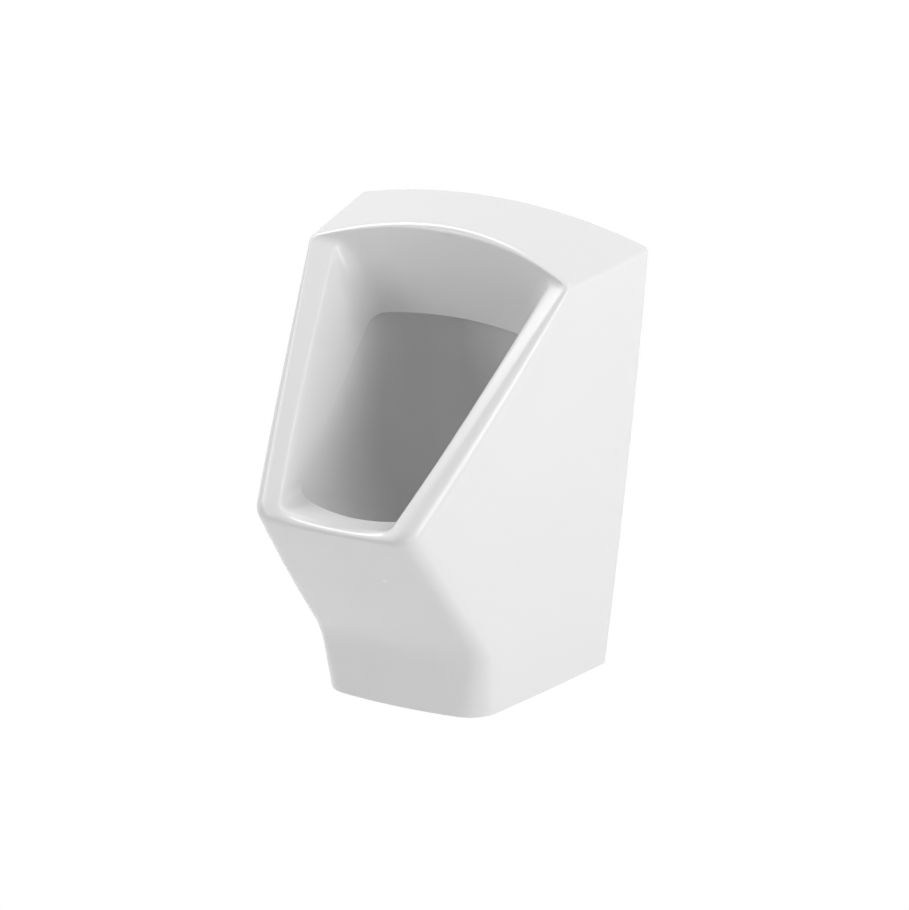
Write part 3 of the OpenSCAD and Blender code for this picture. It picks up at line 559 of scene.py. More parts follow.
def closed_mesh(name, points, faces, place, material_index=0):
    """A closed mesh, moved to its place, with its faces pointing outwards."""
    mesh = bpy.data.meshes.new(name)
    mesh.from_pydata(points, [], faces)
    mesh.transform(place)
    work = bmesh.new()
    work.from_mesh(mesh)
    bmesh.ops.recalc_face_normals(work, faces=work.faces)
    for face in work.faces:
        face.material_index = material_index
    work.to_mesh(mesh)
    work.free()
    return smooth_shade(mesh)


def at(d, h, x=0.0, turn=0):
    """A place at a depth and a height; turn 1 lays the axis to the front, -1 to the wall."""
    return Matrix.Translation((x, -d, h - hang_h)) @ Matrix.Rotation(turn * math.pi / 2, 4, "X")


def eased(points, radius, steps=4, closed=True):
    """A profile of (radius, height) points with its corners rounded, but not on the axis."""
    points = [Vector((*p, 0)[:3]) for p in points]
    run = []
    for i, k in enumerate(points):
        if not closed and i in (0, len(points) - 1):
            run.append(k)
            continue
        before, after = points[i - 1], points[(i + 1) % len(points)]
        reach = min(radius, 0.45 * (k - before).length, 0.45 * (after - k).length)
        if k.x == 0 or reach == 0:
            run.append(k)
            continue
        a = k + reach * (before - k).normalized()
        b = k + reach * (after - k).normalized()
        run += [curve2(a, k, b, t) for t in shares(steps)]
    return run


def lathe(
    name, profile, place, finish=None,
    steps=96, sides=0, corner_r=0.0, pitch=0.001, material_index=0,
):
    """A piece turned from points of radius, height and depth of thread."""
    points, rows, faces = [], [], []
    wedge = 2 * math.pi / sides if sides else 0
    for r, h, cut in profile:
        if r == 0:
            rows.append([len(points)] * steps)
            points.append((0, 0, h))
            continue
        rows.append(list(range(len(points), len(points) + steps)))
        for j in range(steps):
            a = 2 * math.pi * j / steps
            reach = r - cut * (0.5 - 0.5 * math.cos(2 * math.pi * h / pitch - a))
            if sides:
                reach = min(reach, corner_r * math.cos(wedge / 2) / math.cos(a % wedge - wedge / 2))
            points.append((reach * math.cos(a), reach * math.sin(a), h))
    for k in range(len(rows) if profile[0][0] else len(rows) - 1):
        low, high = rows[k], rows[(k + 1) % len(rows)]
        for j in range(steps):
            n = (j + 1) % steps
            corners = dict.fromkeys((low[j], low[n], high[n], high[j]))
            if len(corners) > 2:
                faces.append(tuple(corners))
    return as_piece(name, closed_mesh(name, points, faces, place, material_index), finish)


def ring(name, r, bore, height, place, finish=None, soft=0.0006, **more):
    """A flat ring with rounded edges."""
    profile = [(bore, 0), (r, 0), (r, height), (bore, height)]
    return lathe(name, eased(profile, soft), place, finish, **more)


def rod(name, r, low, high, place, **more):
    """A plain round bar, used to join a boss or to drill a hole."""
    return lathe(name, eased([(0, low), (r, low), (r, high), (0, high)], 0), place, **more)


def box(name, low, high, place, soft, material_index=0):
    """A block with rounded edges."""
    xs, ys, zs = zip(low, high)
    points = [(x, y, z) for x in xs for y in ys for z in zs]
    faces = [(0, 1, 3, 2), (4, 6, 7, 5), (0, 4, 5, 1), (2, 3, 7, 6), (0, 2, 6, 4), (1, 5, 7, 3)]
    piece = as_piece(name, closed_mesh(name, points, faces, place, material_index))
    if soft:
        round_off = piece.modifiers.new("round_off", "BEVEL")
        round_off.width, round_off.segments = soft, 4
        plain_mesh(piece)
    return piece


# The outlet's boss and seat, the boss of the inlet and the two ribs for the
# hooks are cast with the wall; the holes are cut through before firing.
seat_r, seat_dp, drain_hole_r = 0.038, 0.005, 0.026
boss_r, boss_rear_d, boss_front_d, inlet_h, inlet_hole_r = 0.021, 0.012, 0.038, 0.401, 0.0125
rib_inner, rib_d, rib_t, rib_low, rib_h = 0.121985, 0.005, 0.011, 0.4185, 0.026
outlet_boss_r, outlet_boss_h = seat_r + wall_t / 2, 0.0105
inlet_boss_t, boss_soft, rib_soft = boss_front_d - boss_rear_d, 0.0025, 0.002
boss_low = floor_h - seat_dp - wall_t
cut_low, seat_cut, drain_cut, inlet_cut = -0.004, 0.02, 0.014, 0.03
for name, r, height, place, index in (
    ("outlet_boss", outlet_boss_r, outlet_boss_h, at(drain_d, boss_low), 1),
    ("inlet_boss", boss_r, inlet_boss_t, at(boss_rear_d, inlet_h, 0, 1), 0),
):
    profile = eased([(0, 0), (r, 0), (r, height), (0, height)], boss_soft)
    join_or_cut(body, lathe(name, profile, place, material_index=index), "UNION")
rib_outer = side_x(rib_d + rib_t, rib_low) - wall_t / 2
for side in (-1, 1):
    x = sorted((side * rib_inner, side * rib_outer))
    join_or_cut(body, box(
        "rib", (x[0], -rib_d - rib_t, 0), (x[1], -rib_d, rib_h), at(0, rib_low), rib_soft, 1,
    ), "UNION")
for name, r, low, high, place, index in (
    ("seat", seat_r, 0, seat_cut, at(drain_d, floor_h - seat_dp), 0),
    ("drain_hole", drain_hole_r, cut_low, drain_cut, at(drain_d, boss_low), 1),
    ("inlet_hole", inlet_hole_r, cut_low, inlet_cut, at(boss_rear_d, inlet_h, 0, 1), 1),
):
    join_or_cut(body, rod(name, r, low, high, place, material_index=index), "DIFFERENCE")
smooth_shade(body.data)


def detail_group():
    """Soft patches and fine grain for any finish, as a mask, a roughness and a bump."""
    tree = bpy.data.node_groups.new("surface_detail", "ShaderNodeTree")
    for name, kind in (
        ("Patch Scale", "Float"), ("Grain Scale", "Float"), ("Stretch", "Vector"),
        ("Rough Low", "Float"), ("Rough High", "Float"), ("Depth", "Float"),
    ):
        tree.interface.new_socket(name, in_out="INPUT", socket_type="NodeSocket" + kind)
    for name, kind in (
        ("Patches", "Float"), ("Grain", "Float"), ("Roughness", "Float"), ("Normal", "Vector"),
    ):
        tree.interface.new_socket(name, in_out="OUTPUT", socket_type="NodeSocket" + kind)
    given, result = tree.nodes.new("NodeGroupInput"), tree.nodes.new("NodeGroupOutput")
    coords = shader_node(tree, "TexCoord")
    patches = shader_node(tree, "TexNoise", Detail=1.5)
    spread = shader_node(tree, "MapRange", From_Min=0.2, From_Max=0.8)
    stretched = shader_node(tree, "VectorMath", operation="MULTIPLY")
    grain = shader_node(tree, "TexNoise", Detail=2.0)
    bump = shader_node(tree, "Bump", Strength=1.0)
    for start, end in (
        (coords.outputs["Object"], patches.inputs["Vector"]),
        (given.outputs["Patch Scale"], patches.inputs["Scale"]),
        (patches.outputs[0], spread.inputs["Value"]),
        (given.outputs["Rough Low"], spread.inputs["To Min"]),
        (given.outputs["Rough High"], spread.inputs["To Max"]),
        (coords.outputs["Object"], stretched.inputs[0]),
        (given.outputs["Stretch"], stretched.inputs[1]),
        (stretched.outputs[0], grain.inputs["Vector"]),
        (given.outputs["Grain Scale"], grain.inputs["Scale"]),
        (grain.outputs[0], bump.inputs["Height"]),
        (given.outputs["Depth"], bump.inputs["Distance"]),
        (patches.outputs[0], result.inputs["Patches"]),
        (grain.outputs[0], result.inputs["Grain"]),
        (spread.outputs[0], result.inputs["Roughness"]),
        (bump.outputs[0], result.inputs["Normal"]),
    ):
        tree.links.new(start, end)
    return tree


surface_detail = detail_group()


def new_finish(
    name, light, dark, rough, patch_scale, grain_scale, depth, stretch=(1, 1, 1), **sockets
):
    """A material whose colour and roughness drift in patches over a fine grain."""
    made = bpy.data.materials.new(name)
    made.use_nodes = True
    tree = made.node_tree
    shader = tree.nodes["Principled BSDF"]
    detail = tree.nodes.new("ShaderNodeGroup")
    detail.node_tree = surface_detail
    for label, value in (
        ("Patch Scale", patch_scale), ("Grain Scale", grain_scale), ("Stretch", stretch),
        ("Rough Low", rough[0]), ("Rough High", rough[1]), ("Depth", depth),
    ):
        detail.inputs[label].default_value = value
    spread = shader_node(tree, "MapRange", From_Min=0.25, From_Max=0.75)
    tint = tree.nodes.new("ShaderNodeMix")
    tint.data_type = "RGBA"
    tint.inputs[6].default_value = (*light, 1)
    tint.inputs[7].default_value = (*dark, 1)
    tree.links.new(detail.outputs["Patches"], spread.inputs["Value"])
    tree.links.new(spread.outputs[0], tint.inputs[0])
    tree.links.new(tint.outputs[2], shader.inputs["Base Color"])
    tree.links.new(detail.outputs["Roughness"], shader.inputs["Roughness"])
    tree.links.new(detail.outputs["Normal"], shader.inputs["Normal"])
    for label, value in sockets.items():
        shader.inputs[label.replace("_", " ")].default_value = value
    return made


ceramic_glaze = new_finish(
    "ceramic_glaze", (0.768, 0.768, 0.77), (0.758, 0.758, 0.762), (0.22, 0.28), 7.0, 36.0, 0.00003,
    IOR=1.5, Coat_Weight=0.3, Coat_Roughness=0.15,
)
ceramic_bisque = new_finish(
    "ceramic_bisque", (0.80, 0.78, 0.73), (0.72, 0.695, 0.64), (0.75, 0.9), 22.0, 900.0, 0.00012,
)
body.data.materials.append(ceramic_glaze)
body.data.materials.append(ceramic_bisque)
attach(body, "urinal")
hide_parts("ceramic_body")

# ------------------------------------------------------------- strainer
# A pressed and chromed dome that drops into the waste by its collar. Water
# leaves through a ring of holes and a smaller ring inside it.
chrome = new_finish(
    "chrome", (0.80, 0.81, 0.82), (0.74, 0.75, 0.76), (0.07, 0.16), 45.0, 700.0, 0.00001,
    Metallic=1.0,
)
waste_r, waste_wall = 0.024, 0.003
strainer_r, strainer_t, strainer_rise, collar_dp, collar_play = 0.030, 0.002, 0.005, 0.009, 0.0004
hole_r, hole_low, hole_high = 0.002, -0.002, 0.01
collar_r = waste_r - waste_wall - collar_play
dome_r = collar_r - strainer_t
dome = [(q, strainer_rise * (1 - q * q)) for q in (1, 0.94, 0.86, 0.76, 0.64, 0.5, 0.34, 0.16, 0)]
strainer = lathe("strainer_dome", (
    eased([
        (dome_r * 1.002, -collar_dp), (collar_r, -collar_dp), (collar_r, 0), (strainer_r, 0),
        (strainer_r, strainer_t * 0.6), (strainer_r - strainer_t, strainer_t),
    ], 0.0004, closed=False)
    + [Vector((q * collar_r, strainer_t + h, 0)) for q, h in dome]
    + [Vector((q * dome_r, h, 0)) for q, h in dome[::-1]]
), at(drain_d, floor_h), chrome)


def geometry_tree(name, sockets):
    """A Geometry Nodes tree with its named inputs, a geometry in and one out."""
    tree = bpy.data.node_groups.new(name, "GeometryNodeTree")
    tree.interface.new_socket("Geometry", in_out="OUTPUT", socket_type="NodeSocketGeometry")
    for label, kind in (("Geometry", "Geometry"), *sockets, ("Finish", "Material")):
        tree.interface.new_socket(label, in_out="INPUT", socket_type="NodeSocket" + kind)
    return tree


def tree_node(tree, kind, *links, **settings):
    """A node with its settings, and with each link made to the input it names."""
    made = tree.nodes.new(kind)
    for name, value in settings.items():
        setattr(made, name, value)
    for label, output in links:
        tree.links.new(output, made.inputs[label])
    return made


def ring_tree():
    """Repeats its geometry round the upright axis."""
    tree = geometry_tree("round_the_axis", (
        ("Count", "Int"), ("Radius", "Float"), ("First Angle", "Float"), ("Step Angle", "Float"),
    ))
    given = tree.nodes.new("NodeGroupInput").outputs
    index = tree.nodes.new("GeometryNodeInputIndex").outputs[0]
    angle = tree_node(
        tree, "ShaderNodeMath", (0, index), (1, given["Step Angle"]), (2, given["First Angle"]),
        operation="MULTIPLY_ADD",
    ).outputs[0]
    spot = tree_node(tree, "ShaderNodeCombineXYZ", ("X", given["Radius"])).outputs[0]
    turned = tree_node(
        tree, "ShaderNodeVectorRotate", ("Vector", spot), ("Angle", angle), rotation_type="Z_AXIS",
    ).outputs[0]
    points = tree_node(
        tree, "GeometryNodePoints", ("Count", given["Count"]), ("Position", turned),
    ).outputs[0]
    twist = tree_node(tree, "ShaderNodeCombineXYZ", ("Z", angle)).outputs[0]
    twist = tree_node(tree, "FunctionNodeEulerToRotation", (0, twist)).outputs[0]
    copies = tree_node(
        tree, "GeometryNodeInstanceOnPoints",
        ("Points", points), ("Instance", given["Geometry"]), ("Rotation", twist),
    ).outputs[0]
    real = tree_node(tree, "GeometryNodeRealizeInstances", (0, copies)).outputs[0]
    painted = tree_node(
        tree, "GeometryNodeSetMaterial", ("Geometry", real), ("Material", given["Finish"])
    ).outputs[0]
    tree_node(tree, "NodeGroupOutput", (0, painted))
    return tree


round_the_axis = ring_tree()


def run_tree(piece, tree, **values):
    """Sets the tree's inputs on a modifier, and keeps the result as a plain mesh."""
    repeat = piece.modifiers.new(tree.name, "NODES")
    repeat.node_group = tree
    for item in tree.interface.items_tree:
        if item.in_out == "INPUT" and item.name.replace(" ", "_") in values:
            repeat[item.identifier] = values[item.name.replace(" ", "_")]
    return plain_mesh(piece)


for count, share in ((12, 0.75), (6, 0.38)):
    holes = rod("holes", hole_r, hole_low, hole_high, Matrix(), steps=24)
    run_tree(
        holes, round_the_axis, Count=count, Radius=dome_r * share, First_Angle=0.0,
        Step_Angle=2 * math.pi / count, Finish=chrome,
    ).transform(at(drain_d, floor_h))
    join_or_cut(strainer, holes, "DIFFERENCE")
smooth_shade(strainer.data)
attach(strainer, "strainer")
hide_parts("outlet_strainer")

# ---------------------------------------------------------------- waste
# A chromed brass waste: its flange lies in the ceramic's seat on a soft
# ring, and its threaded spigot hangs through the hole.
def threaded(r, low, high, pitch, depth, run_out=0.5):
    """Profile points up a thread, which fades out over its first and last turns."""
    count = round((high - low) / pitch * 8)
    points = []
    for k in range(count + 1):
        h = mix(low, high, k / count)
        fade = min(1, (h - low) / (run_out * pitch), (high - h) / (run_out * pitch))
        points.append(Vector((r, h, depth * max(0, fade))))
    return points


waste_flange_t, waste_len, waste_pitch = 0.003, 0.037, 0.0023
thread_dp, thread_play, waste_neck, waste_chamfer = 0.0011, 0.0001, 0.002, 0.002
waste_in_r, flange_r = waste_r - waste_wall, seat_r - 0.0005
waste_top = waste_len + waste_flange_t
spigot_low = floor_h - waste_flange_t - waste_len
waste = lathe("waste", (
    [Vector((waste_in_r, 0, 0))]
    + threaded(waste_r, 0, waste_len - waste_neck, waste_pitch, thread_dp)
    + eased([
        (waste_r, waste_len), (flange_r, waste_len), (flange_r, waste_top),
        (waste_in_r + waste_chamfer, waste_top), (waste_in_r, waste_top - waste_chamfer),
    ], 0.0006, closed=False)
), at(drain_d, spigot_low), chrome, pitch=waste_pitch)
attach(waste, "urinal")
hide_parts("waste_flange")

# -------------------------------------------------------- waste gaskets
# Moulded black rubber rings above and below the ceramic, squeezed by the
# back-nut so that the waste stays tight.
black_rubber = new_finish(
    "black_rubber", (0.045, 0.045, 0.048), (0.07, 0.07, 0.072), (0.55, 0.75), 60.0, 1500.0, 0.00005,
    Specular_IOR_Level=0.35,
)
gasket_t, backnut_r, backnut_h = 0.002, 0.036, 0.009
for name, r, bore, place, node in (
    ("waste_top_ring", flange_r, drain_hole_r, at(drain_d, floor_h - seat_dp), "waste_top_gasket"),
    (
        "waste_low_ring", backnut_r * math.cos(math.pi / 6), waste_r + thread_play,
        at(drain_d, boss_low - gasket_t), "waste_bottom_gasket",
    ),
):
    gasket = ring(name, r, bore, gasket_t, place, black_rubber)
    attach(gasket, "urinal")
    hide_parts(node)

# ------------------------------------------------------------- back-nut
# A six-sided nut moulded in white plastic that draws the waste down on its
# gaskets from below.
white_plastic = new_finish(
    "white_plastic", (0.86, 0.87, 0.87), (0.82, 0.83, 0.825), (0.3, 0.38), 30.0, 1100.0, 0.00004,
    IOR=1.46,
)


def sided_nut(name, sides, corner_r, levels, place, chamfer, finish):
    """A nut with flat sides, chamfered corners and the bores given as (radius, from, to)."""
    low, high = levels[0][1], levels[-1][2]
    inner = [(r, h) for r, start, end in levels[::-1] for h in (end, start)]
    outer = [
        (corner_r - 2 * chamfer, low), (corner_r - 0.2 * chamfer, low + chamfer),
        (corner_r - 0.2 * chamfer, high - chamfer), (corner_r - 2 * chamfer, high),
    ]
    return lathe(name, eased(outer + inner, 0.0006), place, finish, 144, sides, corner_r)


backnut = sided_nut(
    "back_nut", 6, backnut_r, [(waste_r + thread_play, 0, backnut_h)],
    at(drain_d, boss_low - gasket_t - backnut_h), 0.0018, white_plastic,
)
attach(backnut, "urinal")
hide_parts("waste_backnut")

# ---------------------------------------------------------- union nuts
# Twelve-sided plastic nuts, each with a ledge that presses a soft ring on
# the end of a pipe: waste to trap, top of the bottle, and trap to outlet.
seal_t, trap_wall, pipe_play = 0.003, 0.0025, 0.0004
nut_wall, nut_grip, nut_ledge = 0.005, 0.009, 0.004
dip_r, bottle_r, outlet_r, outlet_h = 0.017, 0.038, 0.016, 0.072
neck_r, neck_top, socket_r, socket_reach = 0.023, 0.108, 0.0195, 0.063
tube_top = spigot_low - seal_t
for name, thread, pipe_r, held, place, node in (
    (
        "inlet_union_nut", waste_r, dip_r, trap_wall + seal_t,
        at(drain_d, tube_top - trap_wall - nut_ledge), "trap_inlet_nut",
    ),
    (
        "top_union_nut", neck_r, dip_r, seal_t,
        at(drain_d, neck_top + seal_t + nut_ledge) @ Matrix.Rotation(math.pi, 4, "X"),
        "trap_top_nut",
    ),
    (
        "outlet_union_nut", socket_r, outlet_r, seal_t,
        at(drain_d - socket_reach - seal_t - nut_ledge, outlet_h, 0, 1), "trap_outlet_nut",
    ),
):
    levels = [
        (pipe_r + pipe_play, 0, nut_ledge),
        (thread + thread_play, nut_ledge, nut_ledge + held + nut_grip),
    ]
    corner_r = (thread + nut_wall) / math.cos(math.pi / 12)
    union = sided_nut(name, 12, corner_r, levels, place, 0.0011, white_plastic)
    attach(union, "urinal")
    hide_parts(node)

# ---------------------------------------------------------- union seals
# Square rubber rings that the union nuts press on the pipes' ends.
for name, r, bore, place, node in (
    ("inlet_union_ring", waste_r, waste_in_r, at(drain_d, tube_top), "trap_inlet_seal"),
    ("top_union_ring", neck_r, dip_r, at(drain_d, neck_top), "trap_top_seal"),
    (
        "outlet_union_ring", socket_r, outlet_r,
        at(drain_d - socket_reach, outlet_h, 0, -1), "trap_outlet_seal",
    ),
):
    seal = ring(name, r, bore, seal_t, place, black_rubber)
    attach(seal, "urinal")
    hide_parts(node)

# ----------------------------------------------------------- inlet tube
# A plastic tube with a turned collar that carries the water from the waste
# down into the bottle, and ends below the outlet so that it stays sealed.
dip_end_h = 0.016
tube_len = tube_top - dip_end_h
dip_tube = lathe("dip_tube", eased([
    (dip_r - trap_wall, 0), (dip_r, 0), (dip_r, tube_len - trap_wall),
    (waste_r, tube_len - trap_wall), (waste_r, tube_len), (dip_r - trap_wall, tube_len),
], 0.0006), at(drain_d, dip_end_h), white_plastic)
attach(dip_tube, "urinal")
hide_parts("trap_inlet_tube")

# --------------------------------------------------------------- bottle
# The trap's bottle, moulded with a threaded neck for the inlet tube and a
# threaded socket towards the wall; its lower end is open and takes the cup.
bottle_top, bottle_low, shoulder_c, end_c = 0.096, 0.030, 0.005, 0.0006
bottle_pitch, socket_pitch, socket_dp, socket_thread = 0.004, 0.003, 0.001, 0.016
socket_start, bore_start, bore_past = 0.03, 0.02, 0.002
inner_r, neck_bore = bottle_r - trap_wall, dip_r + pipe_play
bottle = lathe("trap_bottle_body", (
    eased([(inner_r, bottle_low), (bottle_r, bottle_low)], 0)
    + threaded(bottle_r, bottle_low + 0.0005, bottle_low + 0.0115, bottle_pitch, thread_dp)
    + eased([
        (bottle_r, bottle_low + 0.014), (bottle_r, bottle_top - shoulder_c),
        (bottle_r - shoulder_c, bottle_top), (neck_r, bottle_top),
    ], 0.0015, closed=False)
    + threaded(neck_r, bottle_top + 0.0012, neck_top - end_c, bottle_pitch, thread_dp)
    + eased([
        (neck_r - end_c, neck_top), (neck_bore, neck_top), (neck_bore, bottle_top - trap_wall),
        (inner_r - shoulder_c, bottle_top - trap_wall),
        (inner_r, bottle_top - shoulder_c - trap_wall / 2),
    ], 0)
), at(drain_d, 0), white_plastic, pitch=bottle_pitch)
join_or_cut(bottle, lathe("socket", (
    [Vector((0, socket_start, 0)), Vector((socket_r, socket_start, 0))]
    + threaded(
        socket_r, socket_reach - socket_thread, socket_reach - end_c, socket_pitch, socket_dp,
    )
    + eased([(socket_r - end_c, socket_reach), (0, socket_reach)], 0)
), at(drain_d, outlet_h, 0, -1), pitch=socket_pitch), "UNION")
join_or_cut(bottle, rod(
    "socket_bore", outlet_r + pipe_play, bore_start, socket_reach + bore_past,
    at(drain_d, outlet_h, 0, -1),
), "DIFFERENCE")
bottle.data.materials.clear()
bottle.data.materials.append(white_plastic)
smooth_shade(bottle.data)
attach(bottle, "urinal")
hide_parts("trap_bottle")

# ------------------------------------------------------------------ cup
# The cup screws on the bottle from below and comes off for cleaning. Ribs
# round it give a wet hand its grip; a recess lightens its underside.
cup_low, cup_wall, cup_grip, recess_dp = 0.008, 0.004, 0.010, 0.0006
grip_n, grip_r, grip_low = 16, 0.0015, 0.002
cup_in_r, cup_ledge = bottle_r + thread_play, bottle_low - seal_t - cup_low
cup_out_r, cup_len = cup_in_r + cup_wall, bottle_low + cup_grip - cup_low
grip_high = cup_len - 0.001
cup = lathe("trap_cup_body", eased([
    (0, recess_dp), (cup_out_r * 0.5, recess_dp), (cup_out_r * 0.55, 0), (cup_out_r, 0),
    (cup_out_r, cup_len), (cup_in_r, cup_len), (cup_in_r, cup_ledge), (inner_r, cup_ledge),
    (inner_r, trap_wall), (0, trap_wall),
], 0.0012), at(drain_d, cup_low), white_plastic)
grips = lathe("grips", eased([
    (0, grip_low), (grip_r, grip_low), (grip_r, grip_high), (0, grip_high),
], 0.001), Matrix(), steps=16)
run_tree(
    grips, round_the_axis, Count=grip_n, Radius=cup_out_r, First_Angle=0.0,
    Step_Angle=2 * math.pi / grip_n, Finish=white_plastic,
).transform(at(drain_d, cup_low))
join_or_cut(cup, grips, "UNION")
smooth_shade(cup.data)
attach(cup, "cup")
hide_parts("trap_cup")

# ------------------------------------------------------------- cup seal
# A rubber ring between the bottle's lower end and the cup's ledge.
cup_seal = ring(
    "cup_ring", bottle_r, inner_r, seal_t, at(drain_d, bottle_low - seal_t), black_rubber,
)
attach(cup_seal, "cup_seal")
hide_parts("trap_cup_seal")

# ---------------------------------------------------------- outlet pipe
# A smooth plastic waste pipe from the trap's socket into the wall, with a
# moulded stop bead at the wall's face and a chamfered far end.
pipe_in_d, outlet_past = drain_d - socket_reach + 0.014, 0.062
pipe_len, chamfer_len, chamfer_dp = pipe_in_d + outlet_past, 0.003, 0.001
bead_r, bead_end = outlet_r + trap_wall, pipe_in_d + trap_wall
pipe = lathe("waste_pipe", eased([
    (outlet_r - trap_wall, 0), (outlet_r, 0), (outlet_r, pipe_in_d), (bead_r, pipe_in_d),
    (bead_r, bead_end), (outlet_r, bead_end), (outlet_r, pipe_len - chamfer_len),
    (outlet_r - chamfer_dp, pipe_len), (outlet_r - trap_wall, pipe_len),
], 0.0006), at(pipe_in_d, outlet_h, 0, -1), white_plastic)
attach(pipe, "urinal")
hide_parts("outlet_pipe")

# ------------------------------------------------------------ wall ring
# A rubber ring round the pipe that closes the hole in the wall, moulded
# with two shallow grooves in its sloping face.
wall_ring_r, wall_ring_t, groove_dp = 0.030, 0.005, 0.0006
slope = [
    (mix(outlet_r + wall_ring_t, wall_ring_r, q), q * wall_ring_t)
    for q in (0, 0.25, 0.35, 0.55, 0.65, 1)
]
wall_ring = lathe("wall_ring", eased([
    (outlet_r, 0), slope[0], slope[1], (slope[2][0] - groove_dp, slope[2][1]), slope[3],
    (slope[4][0] - groove_dp, slope[4][1]), (slope[5][0] - 0.0004, slope[5][1] - 0.0004),
    (slope[5][0] - 0.001, slope[5][1]), (outlet_r, wall_ring_t),
], 0.0003), at(wall_ring_t, outlet_h, 0, -1), black_rubber)
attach(wall_ring, "urinal")
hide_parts("outlet_wall_ring")

# ----------------------------------------------------------- inlet spud
# A turned brass connector with a pipe thread from end to end, apart from
# the flange that pulls its gasket against the ceramic's boss.
brass = new_finish(
    "brass", (0.74, 0.60, 0.34), (0.60, 0.46, 0.25), (0.28, 0.4), 70.0, 500.0, 0.00002,
    (0.3, 6, 0.3), Metallic=1.0,
)
inlet_r, inlet_bore_r, inlet_past, inlet_pitch = 0.0105, 0.007, 0.032, 0.0018
inlet_flange_r, inlet_flange_t, inlet_washer_t, inlet_nut_t = 0.019, 0.003, 0.001, 0.008
spreader_d, spreader_len = 0.048, 0.012
fine_dp, spud_c, neck_len = 0.0009, 0.001, 0.0014
inlet_end_d = spreader_d + spreader_len * 0.6
flange_h = inlet_past + boss_rear_d - gasket_t - inlet_flange_t
flange_top, spud_len = flange_h + inlet_flange_t, inlet_past + inlet_end_d
spud = lathe("inlet_connector", (
    [Vector((inlet_bore_r, 0, 0)), Vector((inlet_r - spud_c, 0, 0))]
    + threaded(inlet_r, spud_c, flange_h - neck_len, inlet_pitch, fine_dp)
    + eased([
        (inlet_r, flange_h), (inlet_flange_r, flange_h), (inlet_flange_r, flange_top),
        (inlet_r, flange_top),
    ], 0.0005, closed=False)
    + threaded(inlet_r, flange_top + neck_len, spud_len - spud_c, inlet_pitch, fine_dp)
    + [Vector((inlet_r - spud_c, spud_len, 0)), Vector((inlet_bore_r, spud_len, 0))]
), at(-inlet_past, inlet_h, 0, 1), brass, pitch=inlet_pitch)
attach(spud, "urinal")
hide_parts("inlet_spud")

# --------------------------------------------------------- inlet gasket
# A rubber ring between the spud's flange and the ceramic's boss.
inlet_gasket = ring(
    "inlet_ring", inlet_flange_r, inlet_hole_r, gasket_t,
    at(boss_rear_d - gasket_t, inlet_h, 0, 1), black_rubber,
)
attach(inlet_gasket, "urinal")
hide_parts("inlet_gasket")

# --------------------------------------------------------- inlet washer
# A stamped and zinc-plated steel washer under the inlet's nut.
zinc_steel = new_finish(
    "zinc_steel", (0.66, 0.67, 0.69), (0.52, 0.53, 0.55), (0.28, 0.42), 120.0, 420.0, 0.00002,
    (6, 6, 0.5), Metallic=1.0,
)
washer_play, washer_soft = 0.0003, 0.0002
inlet_washer = ring(
    "inlet_steel_washer", inlet_flange_r, inlet_r + washer_play, inlet_washer_t,
    at(boss_front_d, inlet_h, 0, 1), zinc_steel, washer_soft,
)
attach(inlet_washer, "urinal")
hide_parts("inlet_washer")

# ------------------------------------------------------------ inlet nut
# A six-sided brass nut that clamps the spud from inside the hood's pocket.
inlet_nut = sided_nut(
    "inlet_brass_nut", 6, inlet_flange_r * 0.9, [(inlet_r + thread_play, 0, inlet_nut_t)],
    at(boss_front_d + inlet_washer_t, inlet_h, 0, 1), 0.001, brass,
)
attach(inlet_nut, "urinal")
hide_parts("inlet_nut")

# ------------------------------------------------------------- spreader
# A chromed cap on the end of the inlet. Slots round its lower half spread
# the flush water over the back of the bowl.
spreader_r, slot_w = 0.0135, 0.0027
chamber = inlet_end_d - spreader_d
chamber_end = chamber + spreader_len * 0.2
spreader = lathe("flush_spreader", eased([
    (inlet_r + thread_play, 0), (spreader_r, 0), (spreader_r, spreader_len * 0.85),
    (spreader_r * 0.85, spreader_len), (0, spreader_len), (0, chamber_end),
    (inlet_bore_r, chamber_end), (inlet_bore_r, chamber), (inlet_r + thread_play, chamber),
], 0.0004), at(spreader_d, inlet_h, 0, 1), chrome)
slots = box(
    "slots", (-0.0065, -slot_w / 2, chamber + 0.0001),
    (0.003, slot_w / 2, chamber + spreader_len * 0.17), Matrix(), 0,
)
run_tree(
    slots, round_the_axis, Count=5, Radius=spreader_r - 0.001, First_Angle=math.pi * 1.1,
    Step_Angle=math.pi / 5, Finish=chrome,
).transform(at(spreader_d, inlet_h, 0, 1))
join_or_cut(spreader, slots, "DIFFERENCE")
smooth_shade(spreader.data)
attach(spreader, "urinal")
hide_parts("spreader")

# ------------------------------------------------------ hanger brackets
# Hooks bent from zinc-plated steel and screwed to the wall. The casting's
# ribs drop behind their tongues, and small gussets stiffen the shelf.
steel_t, bracket_w, fixing_x, fixing_z = 0.003, 0.024, 0.135985, 0.016
bracket_low, shelf_up, tongue_d, tongue_h = -0.030, 0.033, 0.0164, 0.014
screw_r, washer_r, washer_t = 0.003, 0.0075, 0.001
wall_bend, inner_bend, tongue_soft, shelf_bend, shelf_soft = 0.0028, 0.0004, 0.0008, 0.003, 0.001
gusset_t, gusset_sink, gusset_proud = 0.0012, 0.001, 0.0004


